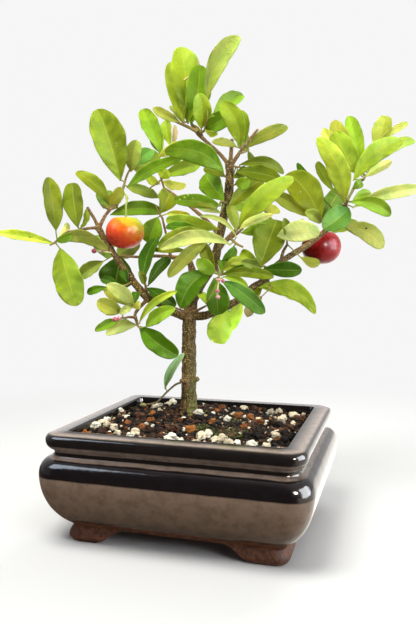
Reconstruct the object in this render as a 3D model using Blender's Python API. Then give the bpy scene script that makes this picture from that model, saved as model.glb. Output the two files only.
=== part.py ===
"""A Barbados cherry bonsai in its glazed pot. Metres, +Z up, the pot's long side along X."""

import math
import random

import bmesh
import bpy
from mathutils import Matrix, Vector
from mathutils.bvhtree import BVHTree

MM = 0.001
GAP = 0.3                       # clearance between pieces that touch, mm

# The pot, in mm
POT_HALF_X = 77.5               # half the rim's width, over the roll
POT_HALF_Y = 68.5
RIM_TOP = 66.0
BELLY_Z = 41.0
BELLY_OUT = 4.0                 # how far the belly stands out past the rim
BODY_BOTTOM = 11.0
FOOT_INSET = 11.4
CORNER = 13.0                   # outer corner radius
CORNER_STEPS = 4
WALL_INSET = 12.0               # from the rim's widest line to the inner wall
FLOOR_TOP = 17.0
FOOT_LENGTH_X = 18.0
FOOT_LENGTH_Y = 17.0
APRON_DROP = 1.6                # how far the apron hangs below the body between the feet
APRON_THICK = 8.0
DRAIN_RADIUS = 8.0
DRAIN_X = 34.0
SCREEN_SIZE = 24.0
SCREEN_THICK = 1.2
SCREEN_HOLES = 2

# The soil, in mm
SOIL_EDGE_Z = 62.6
SOIL_MOUND = 2.6                # how much higher the soil stands at the trunk
GRIT_CELL = 8.0
GRIT_RELIEF = 1.5
GRIT_SHIFT = 0.3                # how far a grain strays, as a share of its cell
STONE_COUNT = 12
STONE_WIDE = (2.2, 3.4)         # least and greatest half width
STONE_SINK = 0.8
MOUND_FLAT = 22.0               # from the trunk to where the soil starts to fall
MOUND_REACH = 62.0              # and to where it is level again
ROOT_ROOM = 17.0                # no grit relief nearer the trunk than this
STONE_ROOM = 24.0
SOIL_TOP = SOIL_EDGE_Z + SOIL_MOUND

# The view that places the crown: a picture 416 by 624 points, seen from the front right
VIEW_FOCAL = 649.5
VIEW_CENTRE = (208, 312)
VIEW_EYE = Vector((123.2, -397.3, 158.9))
VIEW_YAW = math.radians(16.6)
VIEW_PITCH = math.radians(3.3)
VIEW_REACH = 444.7              # from the eye to the trunk's plane, mm

# The tree's wood
TRUNK_SIDES = 10
BRANCH_SIDES = 6
TWIG_SIDES = 4
PEG_RADIUS = 4.6                # the root stock that stands in the soil, mm
PEG_DEPTH = 16.0
PEG_TAPER = 0.7
PEG_RISE = 4.0
KNOT_ROOM = 0.8                 # least run between two sections of a twig, mm
LINE_STEPS = 8                  # places looked at between two knots of a line
SEAT_STEP = 0.1                 # between two places tried for a twig's foot, mm
SPRAY_SOLVER = "MANIFOLD"       # thin blades that cross at a slant leave EXACT with open edges
FACES_KEPT = 0.78               # after thinning, of each spray and of the tree

# The leaves
BLADE_THICK = 0.8
PETIOLE_HALF = 0.65
PETIOLE = 0.12                  # the least petiole, as a share of the leaf
PETIOLE_FADE = 1 / 3            # where along the blade its midrib has thinned to the blade
BIG_LEAF = 15.0                 # mm wide; smaller leaves have a section less
BIG_SECTIONS = (0.0, 0.18, 0.5, 0.82, 1.0)
SMALL_SECTIONS = (0.0, 0.3, 0.74, 1.0)
ROOT_STEP = 0.2                 # between two roots, as a share of their twig
ROOT_SPAN = 0.7                 # the share of a twig that its roots may take
LAST_ROOT = 0.9
WIDEST = 0.52                   # where along the blade it is widest
FOOT_CURVE = 0.9
FOOT_BLUNT = 0.06               # the least share of the full width towards the foot
TIP_BLUNT = 0.2                 # the last section's share of the full width
WAVE = 0.13                     # the margin's wave, as a share of half the width
WAVE_TURNS = 1.6
WAVE_SHIFT = 1.7                # how the wave differs from leaf to leaf
WAVE_LAG = 1.9                  # and from one margin to the other

FORWARD = Vector((-math.sin(VIEW_YAW) * math.cos(VIEW_PITCH),
                  math.cos(VIEW_YAW) * math.cos(VIEW_PITCH), -math.sin(VIEW_PITCH)))
RIGHT = Vector((math.cos(VIEW_YAW), math.sin(VIEW_YAW), 0))
UP = RIGHT.cross(FORWARD)

TINTS = {
    "mint": (0.50, 0.72, 0.30), "lime": (0.42, 0.58, 0.13), "bright": (0.30, 0.50, 0.10),
    "green": (0.18, 0.34, 0.07), "olive": (0.24, 0.32, 0.06), "dark": (0.06, 0.14, 0.04),
    "teal": (0.20, 0.38, 0.24), "khaki": (0.40, 0.42, 0.16), "yellow": (0.62, 0.64, 0.22),
}
BARK = (0.23, 0.19, 0.13)
GLAZE = (0.03, 0.025, 0.022)
SOIL_DARK = (0.09, 0.07, 0.05)
SCREEN_BLACK = (0.05, 0.05, 0.05)
BUD_PINK = (0.75, 0.35, 0.40)


def seen(x, y, near=0.0):
    """The place, in mm, of a picture point that lies `near` mm in front of the trunk's plane."""
    side = (x - VIEW_CENTRE[0]) / VIEW_FOCAL
    rise = (VIEW_CENTRE[1] - y) / VIEW_FOCAL
    return VIEW_EYE + (FORWARD + RIGHT * side + UP * rise) * (VIEW_REACH - near)


def clear_scene():
    for item in list(bpy.data.objects):
        bpy.data.objects.remove(item)


def material(name, colour, roughness, metallic=0.0):
    made = bpy.data.materials.new(name)
    made.use_nodes = True
    shader = made.node_tree.nodes["Principled BSDF"]
    shader.inputs["Base Color"].default_value = (*colour, 1)
    shader.inputs["Roughness"].default_value = roughness
    shader.inputs["Metallic"].default_value = metallic
    return made


def add_mesh(name, points, faces, smooth=False):
    """A new object from points in mm."""
    mesh = bpy.data.meshes.new(name)
    mesh.from_pydata([Vector(p) * MM for p in points], [], faces)
    if smooth:
        mesh.shade_smooth()
        mesh.set_sharp_from_angle(angle=math.radians(40))
    made = bpy.data.objects.new(name, mesh)
    bpy.context.scene.collection.objects.link(made)
    return made


def loft(name, rings, smooth=True):
    """A closed solid through rings of equally many points, its ends closed flat."""
    count = len(rings[0])
    points = [p for ring in rings for p in ring]
    faces = []
    for level in range(len(rings) - 1):
        low = level * count
        for i in range(count):
            j = (i + 1) % count
            faces.append((low + i, low + j, low + count + j, low + count + i))
    faces.append(tuple(reversed(range(count))))
    faces.append(tuple(range(len(points) - count, len(points))))
    return add_mesh(name, points, faces, smooth)


def boolean(target, others, operation, solver="EXACT"):
    """Joins or cuts with a collection of objects, applied, and removes them."""
    group = bpy.data.collections.new("operands")
    bpy.context.scene.collection.children.link(group)
    for item in others:
        bpy.context.scene.collection.objects.unlink(item)
        group.objects.link(item)
    step = target.modifiers.new("boolean", "BOOLEAN")
    step.operand_type = "COLLECTION"
    step.collection = group
    step.operation = operation
    step.solver = solver
    graph = bpy.context.evaluated_depsgraph_get()
    mesh = bpy.data.meshes.new_from_object(target.evaluated_get(graph))
    target.modifiers.clear()
    target.data = mesh
    for item in list(group.objects):
        bpy.data.objects.remove(item)
    bpy.data.collections.remove(group)
    return target


def thin(item, share):
    """Fewer faces, taken where the surface is flattest."""
    step = item.modifiers.new("thin", "DECIMATE")
    step.ratio = share
    step.use_collapse_triangulate = True


def slab(name, x0, x1, y0, y1, z0, z1):
    """A box between two corners."""
    return loft(name, [[Vector((x0, y0, z)), Vector((x1, y0, z)), Vector((x1, y1, z)),
                        Vector((x0, y1, z))] for z in (z0, z1)], smooth=False)


def turned(name, centre, profile, sides):
    """A round solid about an upright axis, from (z, radius) pairs, bottom to top."""
    rings = [[Vector((centre.x + r * math.cos(a), centre.y + r * math.sin(a), z))
              for a in (math.tau * i / sides for i in range(sides))] for z, r in profile]
    return loft(name, rings)


def rounded(inset, z, radius=CORNER):
    """A rounded rectangle, `inset` mm inside the rim's widest line (outside where negative)."""
    half_x = POT_HALF_X - inset
    half_y = POT_HALF_Y - inset
    ring = []
    for quarter, (sx, sy) in enumerate(((1, 1), (-1, 1), (-1, -1), (1, -1))):
        for i in range(CORNER_STEPS + 1):
            a = math.pi / 2 * (quarter + i / CORNER_STEPS)
            ring.append(Vector((sx * (half_x - radius) + radius * math.cos(a),
                                sy * (half_y - radius) + radius * math.sin(a), z)))
    return ring


def tube(name, line, sides):
    """A round branch along (point, radius) pairs."""
    rings = []
    heading = (line[1][0] - line[0][0]).normalized()
    side = heading.orthogonal().normalized()
    for k, (place, radius) in enumerate(line):
        before = line[max(k - 1, 0)][0]
        after = line[min(k + 1, len(line) - 1)][0]
        heading = (after - before).normalized()
        side = (side - heading * side.dot(heading)).normalized()
        other = heading.cross(side)
        rings.append([place + (side * math.cos(a) + other * math.sin(a)) * radius
                      for a in (math.tau * i / sides for i in range(sides))])
    return loft(name, rings)


def limb(*knots):
    """A line of (place, radius) from knots of picture x and y, depth and diameter in mm."""
    return [(seen(x, y, near), thick / 2) for x, y, near, thick in knots]


WOOD = {
    "trunk": limb((189, 418, 0, 13.0), (189, 408, 0, 11.6), (189, 396, 0, 10.4), (189, 372, 0, 10.0),
                  (189, 350, 0, 9.8), (189, 330, 0, 9.4), (190, 312, 0, 9.0), (193, 297, 0, 8.2),
                  (203, 280, 1, 7.0), (213, 266, 2, 6.4), (217, 250, 2, 6.0), (221, 230, 2, 5.8),
                  (226, 205, 1, 6.0), (229, 190, 0, 6.2), (230, 175, 0, 5.6), (229, 161, 0, 6.4)),
    "branch_left": limb((188, 318, 0, 6.0), (172, 312, 3, 5.2), (160, 304, 6, 5.0), (147, 297, 8, 6.0),
                        (133, 281, 7, 4.8), (118, 260, 5, 4.4), (105, 240, 3, 4.2), (98, 227, 2, 4.8)),
    "branch_right": limb((192, 316, 0, 6.2), (207, 315, 5, 5.6), (225, 307, 9, 5.0), (240, 299, 11, 4.8),
                         (253, 287, 10, 4.6), (266, 279, 8, 4.4), (276, 264, 6, 4.2), (292, 253, 4, 4.2),
                         (308, 243, 2, 4.0), (325, 229, 0, 3.8), (345, 206, -2, 4.0)),
    "branch_rear": limb((194, 285, 0, 4.2), (191, 270, -5, 3.6), (186, 261, -10, 3.2),
                        (170, 257, -16, 2.8), (155, 256, -21, 2.4), (140, 257, -25, 2.2),
                        (123, 256, -29, 1.8)),
    "branch_back": limb((206, 277, 0, 4.0), (214, 258, -12, 3.4), (226, 240, -24, 3.0),
                        (240, 226, -36, 2.6), (252, 214, -46, 2.2)),
    "branch_back_left": limb((220, 236, 2, 3.6), (208, 222, -10, 3.0), (192, 208, -22, 2.6),
                             (176, 196, -32, 2.2), (164, 188, -40, 1.8)),
    "branch_down": limb((148, 299, 8, 3.0), (143, 304, 9, 2.6), (138, 309, 11, 2.4), (135, 315, 13, 2.2),
                        (137, 322, 15, 2.2)),
    "stub_top": limb((230, 168, 0, 3.4), (231, 155, -1, 2.8), (232, 139, -2, 2.6)),
    "twig_top_left": limb((228, 164, 0, 2.6), (220, 154, -1, 2.0), (209, 144, -3, 1.8),
                          (199, 135, -4, 2.0)),
    "twig_top_right": limb((231, 166, 0, 2.6), (238, 155, 2, 2.0), (246, 144, 3, 1.8),
                           (258, 129, 4, 1.6)),
    "hub_top": limb((203, 139, -4, 2.2), (199, 133, -4, 4.6), (196, 129, -4, 4.4), (193, 126, -4, 2.6)),
    "stub_left_a": limb((100, 232, 2, 3.0), (95, 220, 3, 2.4), (87, 207, 4, 2.0)),
    "stub_left_b": limb((98, 230, 2, 3.0), (105, 216, 0, 2.4), (113, 206, -3, 2.2),
                        (120, 197, -6, 2.0), (124, 186, -8, 1.8)),
    "stub_left_c": limb((100, 229, 2, 2.8), (92, 228, 3, 2.2), (80, 230, 5, 2.0), (66, 233, 7, 1.8),
                        (58, 240, 8, 2.2)),
    "stub_knuckle": limb((137, 318, 14, 2.2), (130, 317, 15, 1.8), (125, 318, 16, 1.6)),
    "stub_rear": limb((171, 259, -15, 2.6), (167, 238, -14, 2.0), (162, 217, -13, 1.6)),
    "stub_right": limb((281, 261, 5, 2.8), (283, 252, 7, 2.2), (287, 245, 9, 1.8)),
    "stub_trunk_a": limb((189, 314, 3, 2.6), (181, 310, 7, 1.8), (173, 307, 10, 1.2)),
    "stub_trunk_b": limb((193, 313, 3, 2.6), (200, 309, 7, 1.8), (208, 305, 9, 1.2)),
    "nub_a": limb((192, 381, 2, 4.4), (197, 379, 3, 3.4), (199, 378, 3, 2.2)),
    "nub_b": limb((187, 382, 3, 3.6), (183, 381, 5, 3.0), (180, 380, 6, 2.0)),
    "twig_right_up": limb((342, 211, -2, 3.0), (350, 195, -4, 2.0), (356, 186, -5, 1.8),
                          (363, 180, -6, 1.6)),
    "twig_spur": limb((219, 246, 2, 2.6), (229, 239, 6, 2.2), (238, 233, 10, 2.0)),
    "twig_mid": limb((215, 262, 2, 2.8), (217, 268, 8, 2.2), (219, 274, 13, 2.0)),
}
ROOTS = (
    limb((189, 400, 0, 7.0), (197, 411, 4, 5.4), (205, 423, 8, 4.0)),
    limb((189, 400, 0, 7.0), (182, 411, 5, 5.4), (175, 423, 9, 4.0)),
    limb((189, 400, 0, 7.0), (190, 413, 8, 5.4), (192, 427, 14, 4.0)),
    limb((189, 400, 0, 7.0), (188, 408, -7, 5.4), (187, 418, -13, 4.0)),
)
TREE_FOOT = seen(189, 411)


def nearest_on(line, x, y):
    """The place on a line whose picture point lies nearest to (x, y), and by how much it misses."""
    best = None
    for k in range(len(line) - 1):
        for step in range(LINE_STEPS + 1):
            place = line[k][0].lerp(line[k + 1][0], step / LINE_STEPS)
            offset = place - VIEW_EYE
            reach = offset.dot(FORWARD)
            u = VIEW_CENTRE[0] + VIEW_FOCAL * offset.dot(RIGHT) / reach
            v = VIEW_CENTRE[1] - VIEW_FOCAL * offset.dot(UP) / reach
            miss = math.hypot(u - x, v - y)
            if best is None or miss < best[1]:
                best = (place, miss)
    return best


def leaf(name, foot, tip, wide, turn=0.0, lift=0.0, arch=2.0, fold=16.0, tint="green", near=None,
         bow=0.0):
    """A leaf from its foot on the twig to its tip, both picture points.

    wide is the blade's width in mm; turn rolls it about its midrib from facing the viewer;
    lift brings the tip nearer than the foot by that many mm; arch and bow bend the midrib out of
    and along the blade's plane, in mm; fold raises both halves, in degrees.
    """
    return dict(name=name, foot=foot, tip=tip, wide=wide, turn=turn, lift=lift, arch=arch,
                fold=fold, tint=tint, near=near, bow=bow)


# Each spray: its twigs, each a list of (picture x, picture y, depth, diameter), and its leaves.
SPRAYS = {
    "spray_left": ([limb((58, 240, 8, 1.8), (54, 243, 12, 1.5), (50, 245, 15, 1.2))], [
        leaf("L1", (57, 231), (50, 177), 12.5, turn=14, lift=5, tint="bright"),
        leaf("L3", (55, 244), (-4, 233), 7, turn=25, lift=6, tint="yellow"),
        leaf("L4", (60, 248), (75, 306), 18.5, turn=6, lift=6, arch=4, tint="lime"),
        leaf("L6", (62, 241), (108, 249), 7, turn=14, lift=8, arch=4, bow=-5, tint="lime"),
        leaf("L8", (56, 241), (73, 233), 6, turn=20, lift=6, tint="dark"),
    ]),
    "spray_left_mid": ([limb((76, 231, 6, 1.4), (79, 231, 11, 1.3), (81, 229, 14, 1.2))], [
        leaf("L2", (77, 228), (71, 183), 12.5, turn=-12, lift=-10, tint="olive"),
        leaf("L9", (80, 229), (86, 209), 6, turn=50, lift=4, tint="teal"),
    ]),
    "spray_upper_left": ([limb((124, 185, -8, 1.8), (126, 178, -10, 1.6), (129, 171, -13, 1.4),
                               (132, 167, -16, 1.2))], [
        leaf("U1", (120, 181), (98, 109), 22, turn=6, lift=10, arch=3, tint="olive"),
        leaf("U4", (132, 168), (137, 141), 11, turn=-12, lift=6, tint="teal"),
        leaf("U5", (127, 188), (182, 158), 8.5, turn=-14, lift=12, arch=4, bow=-2, tint="green"),
        leaf("U6", (133, 168), (152, 150), 11, turn=-20, lift=-10, tint="green"),
    ]),
    "spray_left_fork": ([limb((110, 210, -2, 1.6), (105, 207, 4, 1.4), (102, 204, 7, 1.2))], [
        leaf("U2", (108, 204), (73, 172), 9.5, turn=12, lift=3, bow=2.4, tint="olive"),
        leaf("U3", (104, 206), (120, 186), 11, turn=24, lift=8, tint="teal"),
    ]),
    "spray_behind_fruit": ([limb((115, 202, -6, 1.4), (117, 206, -11, 1.3), (118, 210, -15, 1.1))], [
        leaf("C25", (110, 215), (162, 212), 9.5, turn=-8, lift=-13, arch=3, bow=-4.8, tint="dark"),
        leaf("B1", (117, 208), (98, 190), 14, turn=190, lift=-22, tint="green"),
    ]),
    "spray_crown_left": ([limb((164, 188, -40, 1.8), (161, 178, -42, 1.6), (158, 167, -44, 1.4),
                               (160, 156, -46, 1.2)),
                          limb((161, 180, -41, 1.4), (156, 184, -37, 1.2), (150, 188, -34, 1.0))], [
        leaf("U8", (159, 152), (143, 109), 13, turn=10, lift=-4, tint="mint"),
        leaf("U10", (170, 147), (167, 121), 7, turn=-20, lift=-20, tint="teal"),
        leaf("U11", (158, 157), (178, 142), 7, turn=20, lift=4, tint="yellow"),
        leaf("U5b", (163, 176), (200, 164), 11, turn=-15, lift=-6, tint="green"),
        leaf("U7", (159, 166), (146, 150), 9, turn=40, lift=14, tint="teal"),
        leaf("C1", (156, 194), (141, 186), 5, turn=20, lift=6, tint="mint"),
        leaf("C2", (155, 184), (147, 177), 8, turn=-40, lift=-4, tint="teal"),
        leaf("C3", (161, 178), (167, 169), 10, turn=10, lift=3, tint="teal"),
        leaf("C4", (162, 181), (186, 187), 9, turn=40, lift=8, tint="yellow"),
        leaf("B2", (159, 162), (132, 166), 15, turn=200, lift=-30, tint="olive"),
    ]),
    "spray_crown_mid": ([limb((227, 203, 4, 1.4), (224, 202, 9, 1.3), (221, 201, 13, 1.2))], [
        leaf("M1", (224, 201), (205, 174), 17, turn=-8, lift=-15, tint="lime"),
        leaf("C13", (227, 210), (263, 180), 10, turn=-10, lift=-12, bow=-2, tint="olive"),
        leaf("C8", (221, 206), (173, 200), 9.5, turn=-12, lift=8, arch=3, near=10, bow=2, tint="olive"),
    ]),
    "spray_leader": ([limb((228, 180, 3, 1.5), (226, 177, 8, 1.3), (224, 175, 12, 1.2))], [
        leaf("U12", (224, 172), (165, 150), 15, turn=-8, lift=12, arch=3, bow=7, tint="green"),
        leaf("M2", (225, 177), (204, 168), 10, turn=30, lift=-4, tint="teal"),
    ]),
    "spray_leader_right": ([limb((231, 185, 3, 1.3), (234, 185, 7, 1.2), (236, 184, 10, 1.0))], [
        leaf("E15", (235, 184), (250, 180), 9, turn=20, lift=4, tint="bright"),
    ]),
    "spray_knob": ([limb((233, 166, 1, 1.5), (237, 167, 6, 1.4), (240, 167, 9, 1.2))], [
        leaf("E13", (239, 165), (284, 173), 8, turn=-12, lift=-6, arch=4, bow=-4.5, tint="dark"),
        leaf("E14", (237, 171), (281, 180), 9, turn=-12, lift=8, bow=-1.5, tint="green"),
    ]),
    "spray_top": ([limb((192, 125, -4, 1.8), (190, 119, -6, 1.6), (189, 112, -9, 1.3)),
                   limb((190, 120, -5, 1.4), (186, 122, 0, 1.3), (182, 123, 3, 1.1))], [
        leaf("T1", (188, 124), (181, 47), 20, turn=4, lift=-2, arch=3, tint="lime"),
        leaf("T1b", (187, 123), (169, 61), 15, turn=-6, lift=-10, tint="bright"),
        leaf("U9", (180, 121), (154, 106), 8, turn=20, lift=-2, tint="khaki"),
    ]),
    "spray_top_mid": ([limb((200, 133, -3, 1.8), (204, 131, 0, 1.6), (206, 125, 5, 1.4),
                            (208, 118, 9, 1.2))], [
        leaf("T2", (191, 124), (203, 66), 14, turn=-6, lift=4, tint="bright"),
        leaf("T3", (206, 102), (239, 36), 12.5, turn=6, lift=2, arch=3, bow=-4, tint="mint"),
        leaf("T4", (201, 129), (199, 92), 11, turn=10, lift=15, tint="lime"),
        leaf("T5", (212, 117), (244, 94), 8, turn=-12, lift=-14, bow=-4, tint="teal"),
        leaf("T6", (205, 129), (232, 118), 10, turn=-10, lift=10, tint="dark"),
        leaf("T10", (205, 129), (218, 133), 7, turn=50, lift=12, tint="green"),
    ]),
    "spray_top_right": ([limb((246, 144, 5, 1.6), (243, 145, 11, 1.4), (241, 148, 15, 1.2))], [
        leaf("T7", (240, 147), (223, 101), 12, turn=-8, lift=6, bow=4, tint="bright"),
        leaf("T9", (237, 147), (212, 142), 6, turn=30, lift=8, tint="green"),
    ]),
    "spray_top_back": ([limb((239, 154, 2, 1.4), (245, 152, -8, 1.3), (249, 150, -14, 1.1))], [
        leaf("T7b", (245, 142), (249, 114), 7, turn=10, lift=-2, tint="dark"),
        leaf("T8", (247, 148), (288, 127), 8.5, turn=-12, lift=6, bow=-2, tint="khaki"),
        leaf("B3", (248, 151), (272, 158), 15, turn=190, lift=-32, tint="olive"),
        leaf("B4", (246, 152), (222, 134), 15, turn=170, lift=-32, tint="green"),
    ]),
    "spray_middle": ([limb((218, 239, 3, 1.6), (215, 235, 11, 1.4), (212, 233, 15, 1.2))], [
        leaf("C15", (211, 235), (158, 246), 11, turn=8, lift=2, arch=3, bow=3, tint="teal"),
        leaf("C16", (216, 231), (166, 221), 8.5, turn=-12, lift=-10, arch=3, bow=3.3, tint="olive"),
        leaf("C18", (209, 240), (168, 277), 7, turn=15, lift=8, arch=3, bow=1, tint="lime"),
    ]),
    "spray_spur": ([limb((239, 232, 11, 1.8), (241, 230, 15, 1.6), (243, 229, 19, 1.3))], [
        leaf("C12", (238, 228), (293, 177), 13.5, turn=12, lift=14, arch=4, bow=-5, tint="lime"),
        leaf("C11", (240, 229), (278, 213), 5, turn=12, lift=18, arch=3, bow=-2.2, tint="yellow"),
        leaf("C10", (236, 233), (200, 214), 4.5, turn=10, lift=8, bow=2.6, tint="yellow"),
        leaf("C14", (231, 245), (160, 249), 9.5, turn=12, lift=20, arch=4, bow=5.5, tint="yellow"),
        leaf("E11", (241, 233), (266, 225), 8, turn=15, lift=-2, tint="khaki"),
    ]),
    "spray_rear": ([limb((122, 256, -29, 1.6), (117, 256, -31, 1.4), (112, 256, -33, 1.2))], [
        leaf("C26", (118, 256), (110, 287), 19, turn=8, lift=-4, tint="dark"),
        leaf("C27", (104, 261), (78, 275), 8, turn=15, lift=-4, tint="olive"),
        leaf("B5", (113, 256), (92, 238), 14, turn=160, lift=-20, tint="green"),
        leaf("B14", (118, 256), (140, 240), 15, turn=190, lift=-20, tint="olive"),
    ]),
    "spray_rear_up": ([limb((161, 216, -13, 1.4), (158, 211, -13, 1.3), (156, 206, -13, 1.1))], [
        leaf("C6", (161, 213), (176, 195), 13, turn=12, lift=-12, tint="olive"),
        leaf("C23", (158, 217), (148, 243), 15, turn=6, lift=-1, tint="green"),
        leaf("C7", (166, 214), (190, 215), 5, turn=10, lift=6, bow=-1, tint="dark"),
    ]),
    "spray_knuckle": ([limb((147, 292, 9, 2.0), (146, 288, 13, 1.8), (145, 283, 17, 1.5))], [
        leaf("C20", (148, 286), (170, 258), 8, turn=12, lift=-6, bow=-2.5, tint="dark"),
        leaf("C21", (143, 284), (157, 238), 7.5, turn=-12, lift=-15, bow=-2.5, tint="green"),
        leaf("C22", (144, 284), (139, 271), 5, turn=20, lift=8, tint="green"),
        leaf("D11", (147, 288), (176, 306), 9, turn=-8, tint="dark"),
    ]),
    "spray_left_low": ([limb((132, 282, 8, 1.5), (126, 285, 13, 1.3), (121, 286, 16, 1.1))], [
        leaf("D1", (107, 287), (87, 293), 5.5, turn=12, lift=-2, tint="dark"),
        leaf("D2", (119, 286), (101, 279), 6, turn=15, lift=-6, tint="green"),
        leaf("D13", (128, 283), (131, 263), 8, turn=-10, lift=-6, tint="dark"),
    ]),
    "spray_down": ([limb((138, 309, 13, 1.5), (135, 307, 17, 1.3), (132, 305, 20, 1.2))], [
        leaf("D3", (134, 306), (107, 284), 9.5, turn=-10, lift=6, arch=3, bow=2.4, tint="lime"),
        leaf("D5", (135, 305), (142, 297), 5, turn=20, lift=6, tint="olive"),
        leaf("D12", (134, 305), (137, 292), 6, turn=-15, lift=-8, tint="dark"),
    ]),
    "spray_knuckle_end": ([limb((124, 318, 16, 1.4), (121, 318, 20, 1.3), (118, 319, 23, 1.1))], [
        leaf("D4", (122, 313), (97, 302), 11, turn=-8, lift=4, tint="green"),
        leaf("D6a", (118, 320), (95, 331), 6, turn=12, lift=8, tint="green"),
        leaf("D6", (137, 325), (106, 334), 9, turn=12, lift=-2, bow=2, tint="olive"),
    ]),
    "spray_low": ([limb((137, 323, 16, 1.8), (138, 326, 19, 1.6), (140, 328, 23, 1.3))], [
        leaf("D7", (139, 324), (177, 291), 5, turn=12, lift=5, arch=3, bow=-5, tint="yellow"),
        leaf("D8", (141, 326), (177, 309), 11.5, turn=-10, lift=12, arch=3, bow=-1.5, tint="bright"),
        leaf("D9", (140, 328), (179, 356), 12.5, turn=8, lift=2, arch=4, bow=1, tint="dark"),
        leaf("D15", (139, 327), (125, 340), 9, turn=40, lift=6, tint="olive"),
    ]),
    "spray_hang": ([limb((219, 274.4, 14, 1.6), (219, 277, 20, 1.5), (220, 279, 25, 1.3))], [
        leaf("E1", (212, 271), (182, 308), 15, turn=8, lift=6, arch=4, bow=4, tint="dark"),
        leaf("E4", (214, 278), (218, 315), 13, turn=-8, lift=-4, arch=3, tint="green"),
        leaf("E5", (222, 281), (265, 313), 11, turn=10, lift=12, arch=4, bow=-2.5, tint="bright"),
        leaf("E6", (222, 275), (274, 277), 7.5, turn=-14, lift=16, arch=3, bow=-1.5, tint="olive"),
        leaf("E2", (215, 273), (197, 259), 9.5, turn=-10, lift=10, tint="teal"),
        leaf("E3", (215, 270), (203, 244), 9, turn=-15, lift=-14, tint="olive"),
        leaf("E7", (222, 270), (241, 259), 9, turn=12, lift=-6, tint="bright"),
    ]),
    "spray_back": ([limb((252, 214, -46, 1.8), (256, 208, -50, 1.6), (260, 203, -54, 1.3)),
                    limb((256, 208, -50, 1.4), (262, 210, -56, 1.2), (268, 213, -60, 1.0))], [
        leaf("B6", (258, 205), (250, 168), 15, turn=160, lift=-10, tint="green"),
        leaf("B7", (260, 203), (284, 184), 15, turn=200, lift=-22, tint="olive"),
        leaf("E12", (262, 206), (280, 213), 7, turn=-15, lift=10, tint="dark"),
        leaf("B8", (266, 212), (262, 246), 16, turn=165, lift=-18, tint="green"),
        leaf("B9", (258, 206), (226, 196), 15, turn=190, lift=-20, tint="bright"),
        leaf("B10", (267, 213), (300, 232), 15, turn=180, lift=-14, tint="olive"),
    ]),
    "spray_right_low": ([limb((268, 280, 9, 1.6), (270, 284, 14, 1.4), (271, 287, 18, 1.2))], [
        leaf("E26", (260, 290), (315, 314), 11, turn=8, lift=4, arch=3, bow=-9, tint="olive"),
        leaf("E28", (270, 285), (248, 316), 11, turn=35, lift=6, tint="khaki"),
    ]),
    "spray_right_under": ([limb((227, 308, 7, 1.6), (229, 312, 3, 1.4), (230, 316, 0, 1.2))], [
        leaf("E27", (231, 311), (217, 343), 17, turn=6, lift=-8, arch=3, tint="lime"),
        leaf("B15", (229, 314), (252, 322), 13, turn=190, lift=-20, tint="lime"),
    ]),
    "spray_right_mid": ([limb((272, 270, 9, 1.6), (268, 268, 14, 1.5), (264, 266, 19, 1.3))], [
        leaf("E10", (260, 267), (272, 219), 19, turn=-6, lift=-12, arch=3, tint="olive"),
        leaf("E20", (263, 269), (302, 270), 10.5, turn=6, lift=8, tint="dark"),
        leaf("E8", (262, 267), (241, 252), 9, turn=-12, lift=-10, tint="green"),
        leaf("E9", (261, 268), (241, 262), 7, turn=12, lift=12, tint="bright"),
    ]),
    "spray_right_fore": ([limb((287, 244, 10, 1.6), (287, 241, 15, 1.4), (287, 238, 20, 1.2))], [
        leaf("E19", (287, 236), (319, 231), 13, turn=8, lift=6, arch=3, bow=-2, tint="yellow"),
        leaf("E23", (289, 233), (304, 220), 6, turn=20, lift=-4, tint="yellow"),
        leaf("E22", (287, 238), (284, 218), 6, turn=20, lift=6, tint="green"),
    ]),
    "spray_right_back": ([limb((329, 225, -2, 1.6), (325, 221, -7, 1.5), (321, 218, -12, 1.3))], [
        leaf("E16", (321, 221), (289, 173), 18.5, turn=8, lift=-8, arch=3, bow=1, tint="olive"),
        leaf("E17", (308, 217), (274, 194), 13, turn=-12, lift=-16, tint="olive"),
        leaf("E18", (325, 221), (306, 208), 9, turn=30, lift=8, tint="khaki"),
        leaf("B11", (322, 219), (342, 186), 15, turn=170, lift=-22, tint="green"),
        leaf("B12", (323, 219), (352, 228), 14, turn=190, lift=-26, tint="olive"),
    ]),
    "spray_right": ([limb((346, 205, -1, 1.8), (347, 203, 5, 1.7), (348, 200, 11, 1.4))], [
        leaf("R1", (344, 203), (314, 135), 14, turn=-8, lift=14, arch=4, bow=6, tint="mint"),
        leaf("R13", (352, 190), (361, 181), 6, turn=15, lift=-2, tint="green"),
        leaf("R14", (355, 203), (422, 190), 9, turn=14, lift=16, arch=3, bow=-2.5, tint="yellow"),
        leaf("R15", (351, 200), (393, 217), 10.5, turn=10, arch=3, bow=-4, tint="green"),
        leaf("R16", (349, 208), (323, 229), 16, turn=4, lift=10, bow=-1, tint="teal"),
        leaf("R10", (331, 191), (315, 161), 8, turn=-14, lift=-14, tint="khaki"),
    ]),
    "spray_right_inner": ([limb((336, 216, -3, 1.4), (334, 212, -9, 1.3), (332, 208, -14, 1.1))], [
        leaf("R11", (326, 202), (297, 162), 9, turn=-14, lift=-4, tint="olive"),
    ]),
    "spray_right_top": ([limb((364, 179, -6, 1.5), (366, 176, -8.5, 1.3), (368, 173, -11.5, 1.2))], [
        leaf("R3", (358, 174), (326, 134), 14, turn=-8, lift=4, arch=3, tint="lime"),
        leaf("R3a", (360, 173), (330, 123), 12, turn=-12, lift=-18, tint="khaki"),
        leaf("R4", (362, 169), (349, 116), 11, turn=10, lift=-10, tint="mint"),
        leaf("R5", (353, 181), (402, 140), 15, turn=8, lift=6, arch=4, bow=-5, tint="bright"),
        leaf("R6", (377, 152), (388, 117), 10.5, turn=-10, lift=-14, tint="mint"),
        leaf("R7", (377, 145), (407, 124), 7.5, turn=15, lift=-18, tint="yellow"),
        leaf("R8", (375, 164), (415, 142), 8, turn=10, lift=-12, bow=-3, tint="lime"),
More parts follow.
